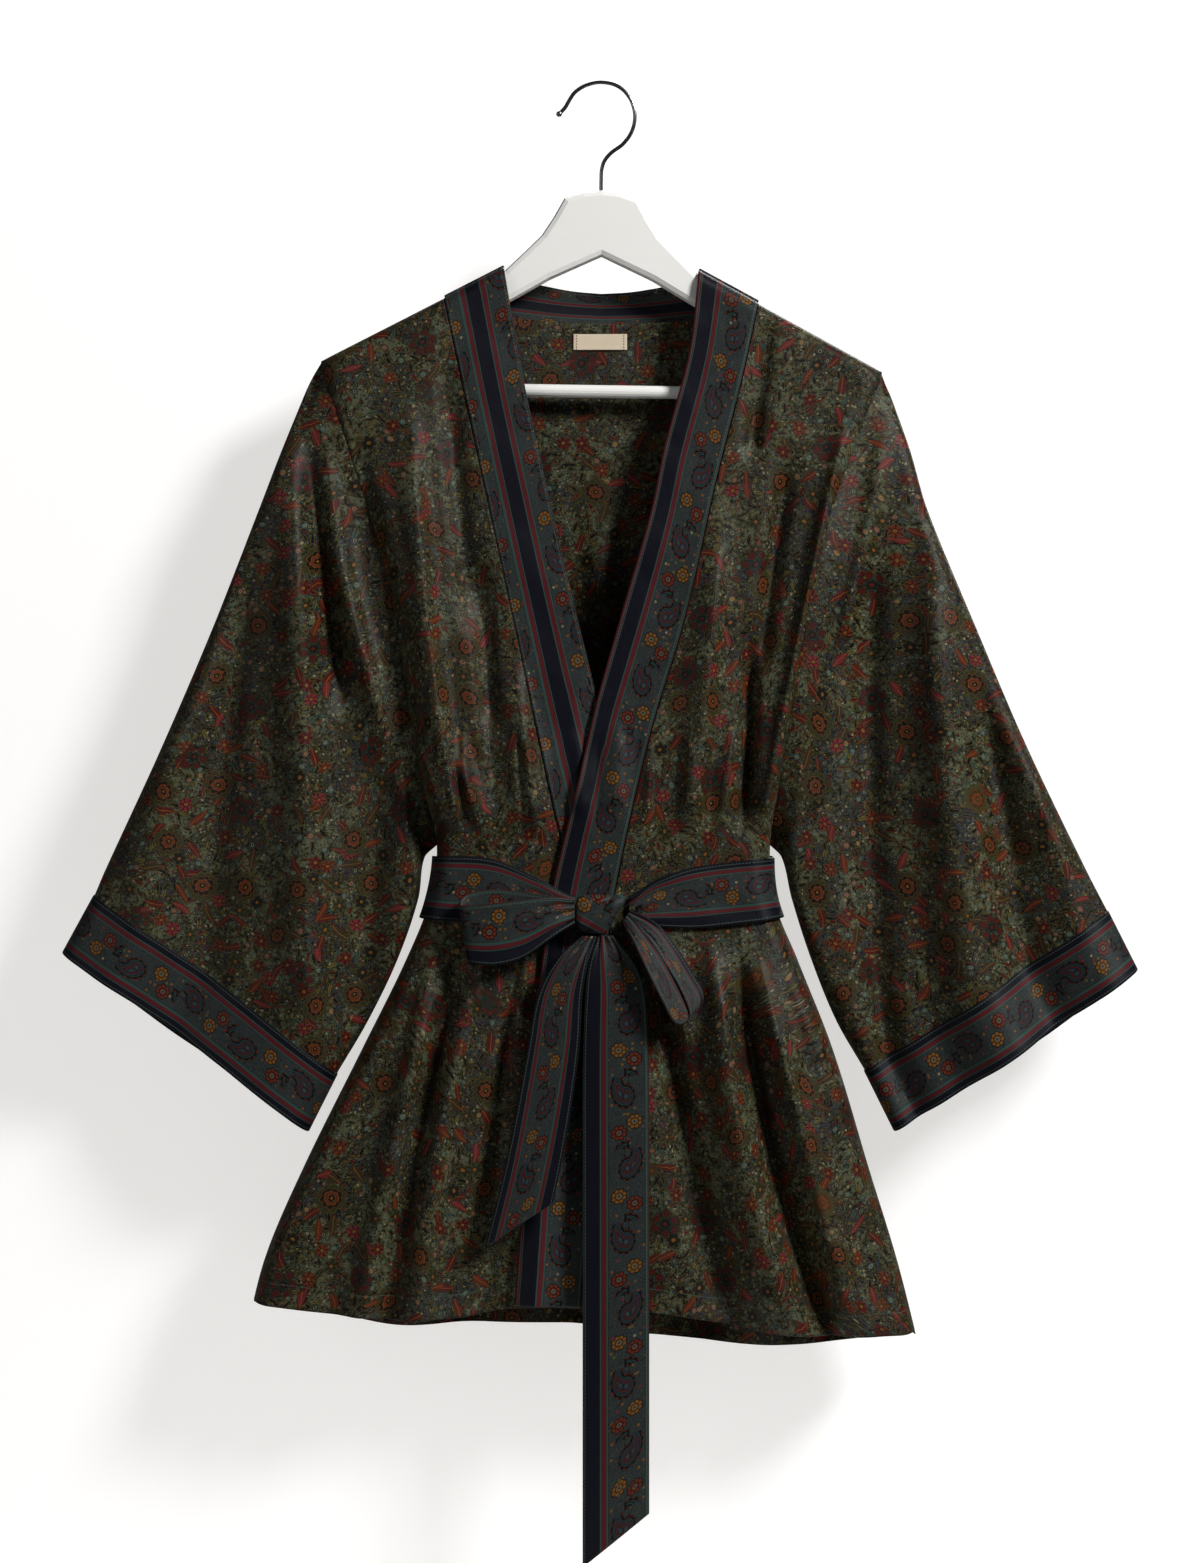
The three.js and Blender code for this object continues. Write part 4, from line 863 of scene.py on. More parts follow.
@dataclass(frozen=True)
class PaisleyBorder:
    """The border cloth: navy, burgundy and teal stripes beside a strip of paisleys and flower pairs."""

    period: float = 50.7
    repeat: float = 56.0
    satin: Satin = Satin(stitch_in=0.0022)

    def reach(self, x: Wire, y: Wire, up: float) -> Wire:
        """Distance from a point that lies up on the y line."""
        return (x * x + (y - up) * (y - up)).math("SQRT")

    def flower(self, web: Web, x: Wire, y: Wire, radius: float, hue: tuple, colour: Wire) -> Wire:
        """Draws an eight-petalled flower over a colour."""
        far = (x * x + y * y).math("SQRT")
        turn = y.math("ARCTAN2", x)
        lobe = abs((turn * 4.0).math("SINE"))
        edge = (lobe**0.6) * (0.3 * radius) + 0.7 * radius
        petals = web.blend(lobe.below(0.25, 0.2), hue, DYES.ink)
        petals = web.blend(far.near(radius * 0.52, 0.32, 0.3), petals, DYES.ink)
        petals = web.blend(far.below(radius * 0.28, 0.3), petals, DYES.cloud)
        petals = web.blend(far.below(radius * 0.14, 0.3), petals, DYES.ink)
        outlined = web.blend(far.below(edge + 0.8, 0.3), colour, DYES.ink)
        return web.blend(far.below(edge, 0.3), outlined, petals)

    def make(self, name: str) -> bpy.types.Material:
        """Stripes first, then the motifs of the paisley strip."""
        web = Web(name)
        flat = web.node("ShaderNodeUVMap", {"uv_map": "cloth"}, {})[0]
        u, v = web.apart(flat)
        a = (u * 1000.0).math("WRAP", self.period, 0.0)
        b = v * 1000.0
        p = self.period
        stops = [
            (0.0, DYES.navy), (11.3 / p, DYES.teal), (12.3 / p, DYES.burgundy), (16.2 / p, DYES.teal),
            (17.6 / p, srgb(36, 39, 40)), (44.1 / p, DYES.teal), (46.2 / p, DYES.burgundy),
            (49.8 / p, DYES.teal)
        ]
        colour = web.ramp(a / p, stops, "CONSTANT")
        inside = a.above(17.6, 0.3) * a.below(44.1, 0.3)
        flip = (b / self.repeat).math("WRAP", 2.0, 0.0).above(1.0, 0.001) * 2.0 - 1.0
        x = (a - 30.9) * flip
        y = b.math("WRAP", self.repeat / 2, -self.repeat / 2)
        fine, _ = web.noise(flat, 300.0, 1.0, 1.5)
        lines = (fine * 8.0).math("FRACT")
        motif = web.blend(lines.near(0.5, 0.16, 0.1) * 0.55, colour, DYES.ink)
        motif = web.blend(lines.near(0.1, 0.08, 0.1) * 0.6, motif, DYES.cloud)
        dots = web.node(
            "ShaderNodeTexVoronoi", {"voronoi_dimensions": "2D"},
            {"Vector": flat, "Scale": 260.0, "Randomness": 0.7}
        )
        dot_a, dot_b, _ = web.node("ShaderNodeSeparateColor", {}, {0: dots[1]})
        hue = web.ramp(
            dot_a, [(0.0, DYES.ochre), (0.4, DYES.rose), (0.6, DYES.cream), (0.7, DYES.olive)], "CONSTANT"
        )
        motif = web.blend(dots[0].below(0.26, 0.1) * dot_b.above(0.82, 0.05), motif, hue)
        # the paisley: a large half disc with a smaller disc added above and one taken away below
        px, py = (x - 0.5) / 9.0, (y - 9.0) / 12.5
        whole, lower, upper = (self.reach(px, py, up) for up in (0.0, -0.5, 0.5))
        comma = (whole - 1.0).most(-1.0 * px).most(0.5 - lower).least(upper - 0.5)
        body = web.ramp(
            comma * -1.6 + 0.3,
            [
                (0.0, DYES.ink), (0.2, DYES.teal), (0.27, DYES.ink), (0.34, DYES.slate), (0.52, DYES.ink),
                (0.58, DYES.rust), (0.66, DYES.ink), (0.74, DYES.slate), (0.92, DYES.teal)
            ],
            "CONSTANT"
        )
        beads = ((py.math("ARCTAN2", px)) * 15.0).math("SINE").above(0.0, 0.4)
        motif = web.blend(comma.below(0.26, 0.03), motif, DYES.ink)
        motif = web.blend(comma.near(0.2, 0.035, 0.03) * beads * 0.8, motif, DYES.rust)
        motif = web.blend(comma.below(0.08, 0.03), motif, body)
        motif = self.flower(web, x + 5.6, y + 20.5, 5.4, DYES.ochre, motif)
        motif = self.flower(web, x - 5.6, y + 13.0, 5.4, DYES.rust, motif)
        colour = web.blend(inside, colour, motif)
        # a hair of ink where two stripes meet
        seam = (
            a.near(11.3, 0.25, 0.2).most(a.near(17.6, 0.25, 0.2)).most(a.near(44.1, 0.25, 0.2))
            .most(a.near(49.8, 0.2, 0.2))
        )
        colour = web.blend(seam * 0.6, colour, DYES.ink)
        return self.satin.dress(web, flat, colour)


@dataclass(frozen=True)
class WovenTape:
    """The bare neck label: cream damask tape, with stitches across both ends."""

    def make(self, name: str) -> bpy.types.Material:
        """Basket weave, soiling and thread stitched across both ends."""
        web = Web(name)
        flat = web.node("ShaderNodeUVMap", {"uv_map": "cloth"}, {})[0]
        u, v = web.apart(flat)
        warp = (u * (2 * math.pi / 0.0006)).math("SINE") * 0.5 + 0.5
        weft = (v * (2 * math.pi / 0.0004)).math("SINE") * 0.5 + 0.5
        soil, _ = web.noise(flat, 90.0, 3.0)
        colour = web.blend(warp * weft * 0.35 + soil * 0.25, srgb(206, 188, 160), srgb(236, 224, 200))
        ends = abs(u).near(0.0185, 0.0004, 0.0002)
        stitch = ends * (v * (2 * math.pi / 0.0022)).math("SINE").above(-0.2, 0.3)
        colour = web.blend(stitch, colour, srgb(120, 96, 70))
        web.shine(Sheen_Weight=0.3)
        return web.finish(colour, 0.7 + soil * 0.15, warp * weft + stitch * 2.0, 0.0002, 0.6)


@dataclass(frozen=True)
class Lacquer:
    """The hanger's white satin lacquer over fine-grained wood."""

    def make(self, name: str) -> bpy.types.Material:
        """Faint grain under the paint, brush marks, and soft patches a little darker at random."""
        web = Web(name)
        place = web.node("ShaderNodeTexCoord", {}, {})[3]
        fine = web.vector("MULTIPLY", place, (18.0, 140.0, 140.0))
        grains = web.node("ShaderNodeTexNoise", {}, {"Vector": fine, "Scale": 1.0, "Detail": 4.0})[0]
        cloud = web.node("ShaderNodeTexNoise", {}, {"Vector": place, "Scale": 14.0, "Detail": 3.0})[0]
        colour = web.blend(grains * 0.35 + cloud * 0.3, srgb(243, 242, 238), srgb(229, 227, 220))
        web.shine(Coat_Weight=0.25, Coat_Roughness=0.25)
        return web.finish(colour, 0.36 + cloud * 0.12, grains, 0.0003, 0.35)


@dataclass(frozen=True)
class PolishedSteel:
    """The hook's bright wire, drawn lengthwise and a little scuffed."""

    def make(self, name: str) -> bpy.types.Material:
        """Fine draw marks and small scuffs."""
        web = Web(name)
        place = web.node("ShaderNodeTexCoord", {}, {})[3]
        marks = web.node("ShaderNodeTexNoise", {}, {"Vector": place, "Scale": 900.0, "Detail": 3.0})[0]
        scuff = web.node("ShaderNodeTexNoise", {}, {"Vector": place, "Scale": 120.0, "Detail": 5.0})[0]
        colour = web.blend(scuff * 0.5, srgb(128, 128, 130), srgb(84, 84, 86))
        web.shine(Metallic=1.0)
        return web.finish(colour, 0.16 + scuff * 0.14, marks, 0.00008, 0.4)


# The robe's form


@dataclass
class RobeForm:
    """The robe's outlines and depths as it hangs, in millimetres. Each panel is read from these."""

    seam_left: Curve = Curve(
        (-215, -219), (-226, -217.5), (-246, -209), (-309, -189), (-371, -170), (-435, -157), (-493, -148.5),
        (-545, -139), (-593, -128.5), (-636, -134), (-683, -152.5), (-753, -187), (-847, -233.5),
        (-917, -263), (-990, -280)
    )
    seam_right: Curve = Curve(
        (-224, 219), (-232, 217.5), (-246, 211), (-309, 187), (-371, 168), (-435, 155.5), (-493, 146),
        (-545, 138), (-593, 131.5), (-636, 134.5), (-683, 153), (-753, 180.5), (-847, 209), (-917, 230.5),
        (-990, 249)
    )
    under_seam: Curve = Curve(
        (-169, -122.5), (-248, -105.5), (-371, -79), (-459, -60), (-583, -33), (-621, -22), (-714, -8),
        (-980, 10)
    )
    under_free: Curve = Curve(
        (-144, -76), (-234, -60), (-316, -42), (-395, -24), (-476, -4), (-560, 16), (-621, 30), (-714, 42),
        (-980, 60)
    )
    over_seam: Curve = Curve(
        (-170, 122.5), (-230, 109.5), (-309, 89.5), (-418, 64.5), (-503, 39), (-592, 18), (-652, 7),
        (-753, -2), (-980, -18)
    )
    over_free: Curve = Curve(
        (-146, 75.5), (-209, 68), (-284, 48.5), (-334, 38), (-416, 14.5), (-480, -3.5), (-543, -18),
        (-622, -37), (-660, -43.5), (-753, -53), (-980, -69)
    )
    hem_under: Curve = Curve(
        (-285, -945), (-215, -953), (-150, -958), (-105, -956), (-68, -949), (0, -951), (80, -955)
    )
    hem_over: Curve = Curve(
        (-80, -946), (-28, -948), (36, -952), (82, -959), (131, -968), (194, -971), (260, -970)
    )
    hem_back: Curve = Curve(
        (-285, -946), (-215, -963), (-153, -972), (-90, -970), (-16, -972), (37, -979), (131, -988),
        (194, -984), (260, -972)
    )
    depth: Curve = Curve(
        (-150, 11, 10), (-230, 15, 13.5), (-330, 21, 17), (-450, 26, 20), (-560, 29, 23), (-597, 26.5, 20),
        (-652, 26.5, 20), (-700, 30, 24), (-830, 34, 28), (-990, 37, 31)
    )
    armhole: Curve = Curve(
        (-226, 0.4), (-236, 8.4), (-262, 14.0), (-330, 18.5), (-400, 20.5), (-480, 20.0), (-540, 14.5),
        (-575, 7.5), (-593, 0.4)
    )
    underarm: float = -593.0
    seam_gap: float = 0.3
    lap: float = 0.8
    seam_closed: float = 0.4
    side_start: float = 220.0
    side_roll: float = 16.0
    shoulder_roll: float = 9.5
    shoulder_slope: float = 0.53
    neck_half: float = 75.0
    neck_top: float = -144.2
    lean: float = 0.0157
    pivot: float = -130.0
    layer: float = 5.0
    roll_share: float = 3 / 27
    fold_gain: float = 1.45
    front_folds: tuple[Fold, ...] = (
        Fold(-196, -250, -171, -390, -143, -590, 12, 9, -8),
        Fold(-149, -228, -137, -400, -102, -632, 15, 10, 9, 0.25),
        Fold(-122, -200, -112, -310, -100, -440, 12, 10, -5),
        Fold(-158, -490, -130, -556, -108, -634, 9, 7, 6),
        Fold(-120, -500, -97, -568, -80, -640, 9, 7, 5.5, -0.2),
        Fold(-97, -350, -90, -430, -84, -515, 13, 10, -6.5),
        Fold(-68, -440, -58, -520, -44, -634, 14, 9, 6.5, 0.2),
        Fold(128, -178, 122, -232, 116, -300, 10, 9, -6),
        Fold(196, -236, 160, -400, 117, -628, 9, 8, 8, -0.2),
        Fold(148, -280, 134, -372, 122, -470, 11, 9, -8),
        Fold(94, -320, 81, -470, 64, -640, 16, 11, 7.5, 0.3),
        Fold(112, -400, 114, -510, 101, -640, 9, 8, -10),
        Fold(-124, -652, -142, -742, -196, -1010, 9, 24, 10, -0.2),
        Fold(-104, -652, -128, -750, -172, -1010, 8, 18, -8),
        Fold(-84, -652, -108, -746, -146, -1010, 9, 22, 10, 0.2),
        Fold(-58, -650, -74, -770, -92, -1010, 9, 20, -6),
        Fold(-36, -650, -42, -780, -60, -1010, 9, 22, 5),
        Fold(34, -646, 58, -792, 116, -1010, 9, 22, -10),
        Fold(92, -645, 100, -782, 168, -1010, 10, 26, 13, 0.25),
        Fold(106, -652, 121, -784, 192, -1010, 6, 11, -9),
        Fold(118, -652, 147, -786, 210, -1010, 9, 19, 11, -0.2),
    )
    back_folds: tuple[Fold, ...] = (
        Fold(-134, -235, -118, -390, -98, -630, 22, 11, 8, 0.2),
        Fold(-96, -300, -86, -450, -70, -630, 14, 10, -6),
        Fold(-60, -280, -52, -430, -42, -630, 18, 11, 6, 0.2),
        Fold(-4, -300, 2, -440, 4, -630, 20, 12, -6),
        Fold(54, -270, 52, -440, 44, -630, 18, 11, 7, -0.2),
        Fold(90, -320, 82, -460, 72, -630, 13, 10, -6),
        Fold(136, -235, 117, -400, 98, -630, 20, 11, 7.5, -0.2),
        Fold(-106, -640, -150, -770, -222, -1010, 14, 36, 9, 0.2),
        Fold(-62, -640, -86, -780, -118, -1010, 13, 34, 10),
        Fold(-84, -640, -116, -780, -170, -1010, 10, 26, -6),
        Fold(-14, -640, -18, -780, -24, -1010, 13, 34, 8, -0.2),
        Fold(12, -640, 18, -780, 24, -1010, 10, 24, -5),
        Fold(42, -640, 62, -780, 80, -1010, 13, 34, 10, 0.2),
        Fold(70, -640, 96, -780, 128, -1010, 10, 24, -6),
        Fold(98, -640, 134, -770, 190, -1010, 13, 34, 9),
    )
    fine_front: list[Fold] = field(default_factory=list)
    fine_back: list[Fold] = field(default_factory=list)

    def __post_init__(self) -> None:
        """Adds the small creases that the belt gathers above and below itself."""
        above = Curve((0, -126, -500), (1, 122, -500))
        below = Curve((0, -128, -656), (1, 128, -656))
        self.fine_front += creases(3, 17, above, (70, 105), (3.5, 7, 2.4), -0.12)
        self.fine_front += creases(5, 19, below, (60, 190), (4, 8, 2.6), 0.32)
        self.fine_back += creases(7, 17, above, (70, 105), (3.5, 7, 2.2), -0.1)
        self.fine_back += creases(9, 19, below, (60, 190), (4, 8, 2.6), 0.3)

    def seam(self, side: Side) -> Curve:
        """A side's outline."""
        return self.seam_left if side is Side.LEFT else self.seam_right

    def shoulder(self, x: Array) -> Array:
        """The shoulder line of the cloth over the leaning hanger."""
        sign = np.where(x < 0, -1.0, 1.0)
        level = self.neck_top - self.shoulder_slope * (sign * (x + self.pivot * self.lean) - self.neck_half)
        return (level - self.lean * x) / (1 - sign * self.shoulder_slope * self.lean)

    def belt_ease(self, z: Array) -> Array:
        """0 where the belt presses the cloth flat, 1 away from it."""
        return 1 - ease(-556, -590, z) * ease(-694, -662, z)

    def cleared(self, depth: Array, z: Array) -> Array:
        """Keeps a trough clear of the hanger above, and of the other side below, by a soft lower limit."""
        low = mix(4.0, 9.0, ease(-300, -240, z))
        return low + 0.5 * (depth - low + np.sqrt((depth - low) ** 2 + 4.0))

    def front_depth(self, x: Array, z: Array) -> Array:
        """How far the front stands before the hanger's plane, before its edges roll in."""
        half = np.abs(np.where(x < 0, self.seam_left(z), self.seam_right(z)))
        belly = 5 * ease(-450, -700, z) * (1 - np.clip(x / half, -1, 1) ** 2)
        hanging = folds_height(self.front_folds, x, z) + folds_height(self.fine_front, x, z)
        soft = 0.5 * ripple(x, z * 0.6, 46, 21) + 0.12 * ripple(x, z, 19, 22)
        return self.cleared(
            self.depth(z, 0) + belly + self.belt_ease(z) * (self.fold_gain * hanging + soft), z
        )

    def back_depth(self, x: Array, z: Array) -> Array:
        """How far the back stands behind the hanger's plane."""
        hanging = folds_height(self.back_folds, x, z) + folds_height(self.fine_back, x, z)
        soft = 0.5 * ripple(x, z * 0.6, 46, 31) + 0.12 * ripple(x, z, 19, 32)
        return self.cleared(self.depth(z, 1) + self.belt_ease(z) * (self.fold_gain * hanging + soft), z)

    def shoulder_share(self, drop: Array) -> Array:
        """Share of the depth at a drop below the shoulder line: a quarter circle over the hanger's arm."""
        return np.sqrt(1 - (1 - np.clip(drop / self.shoulder_roll, 0, 1)) ** 2)

    def row_drop(self, v: Array, height: Array) -> Array:
        """How far a row lies below the shoulder line: the first rows go round the arm, the rest hang."""
        over = self.shoulder_roll * (1 - np.cos(np.clip(v / self.roll_share, 0, 1) * math.pi / 2))
        hang = mix(self.shoulder_roll, height, (v - self.roll_share) / (1 - self.roll_share))
        return np.where(v < self.roll_share, over, hang)

    def roll_in(
        self, way: Array, seam: Array, inner: Array, sign: Array, seam_depth: Array, full: Array
    ) -> tuple[Array, Array]:
        """Places points across a panel whose outer edge rolls in to a seam.

        The edge is an arc of the side roll's radius that starts at the seam's depth, then the panel
        runs straight.

        Args:
            way: share of the unrolled width from the seam.
            seam: the seam's x.
            inner: the panel's other edge's x.
            sign: -1 for a seam on the left.
            seam_depth: the depth of the seam.
            full: the depth of the panel beyond the roll.

        Returns:
            x, and the share of the full depth.
        """
        start = np.arcsin(np.clip(seam_depth / full, 0, 0.985))
        arc = self.side_roll * (math.pi / 2 - start)
        flat = np.abs(inner - seam) - self.side_roll * np.cos(start)
        run = way * (arc + flat)
        angle = start + np.minimum(run, arc) / self.side_roll
        rolled = seam - sign * self.side_roll * (np.cos(start) - np.cos(angle))
        straight = seam - sign * (self.side_roll * np.cos(start) + run - arc)
        return np.where(run < arc, rolled, straight), np.where(run < arc, np.sin(angle), 1.0)

    def seam_depth(self, z: Array, sign: Array, folds: Sequence[Fold]) -> Array:
        """Depth of the side at a height: closed below the armhole, and open in it, crossed by the folds."""
        seam = np.where(sign < 0, self.seam_left(z), self.seam_right(z))
        arm = self.armhole(z)
        folded = arm + self.fold_gain * folds_height(folds, seam, z) * arm / 20
        return np.where(z > self.underarm, np.maximum(folded, self.seam_closed), self.seam_closed)

    def under_gap(self, x: Array, z: Array) -> Array:
        """How far the under front goes behind the over front, past the over front's free edge."""
        return self.layer * ease(-16, -1, x - self.over_free(z)) * ease(-400, -480, z)

    def front(self, side: Side) -> Place:
        """A front panel from its side to its band, as a surface of across and down."""
        s = side.value
        seam = self.seam(side)
        inner = self.under_seam if side is Side.LEFT else self.over_seam
        hem = self.hem_under if side is Side.LEFT else self.hem_over

        def place(u: Array, v: Array) -> Array:
            """Settles x and z together in eight passes, then reads the depth."""
            way = u if side is Side.LEFT else 1 - u
            x = s * mix(self.side_start, 122, way)
            for _ in range(8):
                top = self.shoulder(x)
                z = top - self.row_drop(v, top - hem(x))
                at_side, full = self.seam_depth(z, s, self.front_folds), self.front_depth(x, z)
                x, share = self.roll_in(way, seam(z), inner(z) + s * self.seam_gap, s, at_side, full)
            closing = np.maximum(self.shoulder_share(self.shoulder(x) - z), 0.02)
            depth = self.front_depth(x, z) * share * closing
            if side is Side.LEFT:
                depth = depth - self.under_gap(x, z)
            # the cut edges are drawn back past the back's, so that no light shows through the seams
            over, beside = ease(0.0015, 0, v), ease(0.004, 0, way) * (z < self.underarm)
            lap = self.lap * np.maximum(over, 2.0 * beside)
            y = lap - np.maximum(depth, self.seam_gap / 2)
            return np.stack([x - s * 0.1 * beside, y, z - 0.5 * over], 2)

        return place

    def band(self, side: Side) -> Place:
        """A front band from its sewn edge to its free edge."""
        s = side.value
        sewn = self.under_seam if side is Side.LEFT else self.over_seam
        free = self.under_free if side is Side.LEFT else self.over_free
        hem = self.hem_under if side is Side.LEFT else self.hem_over

        def place(u: Array, v: Array) -> Array:
            """Settles x and z together, then reads the depth."""
            way = u if side is Side.LEFT else 1 - u
            x = s * mix(122, 76, way)
            for _ in range(8):
                top = self.shoulder(x)
                z = top - self.row_drop(v, top - hem(x))
                x = mix(sewn(z) - s * self.seam_gap, free(z), way)
            closing = np.maximum(self.shoulder_share(self.shoulder(x) - z), 0.02)
            depth = self.front_depth(x, z) * closing
            if side is Side.LEFT:
                depth = depth - self.under_gap(x, z)
            over = ease(0.0015, 0, v)
            return np.stack([x, self.lap * over - np.maximum(depth, self.seam_gap / 2), z - 0.5 * over], 2)

        return place


NECK_SEWN = (
    (122.5, 0.2, -167.6), (120.5, 9.4, -170.8), (114, 12, -176), (95, 13.8, -181.5), (68, 15, -184.5),
    (34, 16, -187), (0, 16.4, -188),
)
NECK_FREE = (
    (76, 0.2, -143.2), (75.5, 9, -146), (72, 12.2, -149.5), (62, 14.4, -152.5), (44, 16.8, -156),
    (22, 18.3, -159.5), (0, 19, -161),
)


@dataclass
class NeckForm:
    """The neckband behind the neck, half of it from the shoulder to the middle, and the back's top edge."""

    form: RobeForm
    sewn: Curve = evenly(NECK_SEWN)
    free: Curve = evenly(NECK_FREE)
    sewn_by_x: Curve = Curve(*((-x, y, z) for x, y, z in NECK_SEWN))
    wide: float = NECK_SEWN[0][0]
    gap: float = -3.0

    def top(self, x: Array) -> Array:
        """The back's top edge: the shoulder line, and the neckband's sewn edge between."""
        reach = np.abs(x)
        neck = self.sewn_by_x(-np.maximum(reach - 0.7, 0), 1) - self.form.lean * x
        joined = mix(self.form.shoulder(x), neck, ease(self.wide, 120.8, reach))
        joined = joined - self.gap * ease(self.wide, 120.6, reach)
        return np.where(reach >= self.wide, self.form.shoulder(x), joined)

    def back(self, u: Array, v: Array) -> Array:
        """The back panel from the right seam to the left, settled in ten passes."""
        f = self.form
        sign = np.where(u < 0.5, 1.0, -1.0)
        way = 2 * np.minimum(u, 1 - u)
        x = sign * f.side_start * (1 - way)
        z = np.full_like(x, -400.0)
        for _ in range(10):
            top = self.top(x)
            height = top - f.hem_back(x)
            middle = ease(self.wide, 90, np.abs(x))
            z = top - mix(f.row_drop(v, height), v * height, middle)
            seam = np.where(sign > 0, f.seam_right(z), f.seam_left(z))
            at_side = f.seam_depth(z, sign, f.back_folds)
            x, share = f.roll_in(way, seam, 0 * x, sign, at_side, f.back_depth(x, z))
        over = np.maximum(f.shoulder_share(f.shoulder(x) - z), 0.02)
        depth = f.back_depth(x, z) * share * mix(over, 1.0, middle)
        neck = np.where(np.abs(x) < 121.5, ease(0.12, 0, v), 0.0)
        sewn = self.sewn_by_x(-np.abs(x), 0)
        return np.stack([x, np.maximum(mix(depth, sewn, neck), f.seam_gap / 2), z], 2)

    def band(self, u: Array, v: Array) -> Array:
        """The neckband from the right shoulder to the left, sewn edge to free edge, slightly crowned."""
        half = 2 * np.minimum(u, 1 - u)
        side = np.where(u < 0.5, 1.0, -1.0)
        x = side * mix(self.sewn(half, 0), self.free(half, 0), v)
        crown = 1.4 * np.sin(math.pi * v) * np.sin(math.pi * half * 0.5)
        y = mix(self.sewn(half, 1), self.free(half, 1), v) + crown
        return np.stack([x, y, mix(self.sewn(half, 2), self.free(half, 2), v) - self.form.lean * x], 2)

    def label(self, u: Array, v: Array) -> Array:
        """The blank label on the inside of the back, 42 by 12.5 mm."""
        x = -1 + 42 * (u - 0.5)
        z = -199.5 + 12.5 * (0.5 - v)
        down = (self.top(x) - z) / (self.top(x) - self.form.hem_back(x))
        depth = mix(self.form.back_depth(x, z), self.sewn_by_x(-np.abs(x), 0), ease(0.12, 0, down))
        return np.stack([x, depth - 1.7 + 0.35 * np.sin(5 * u + 2 * v), z], 2)


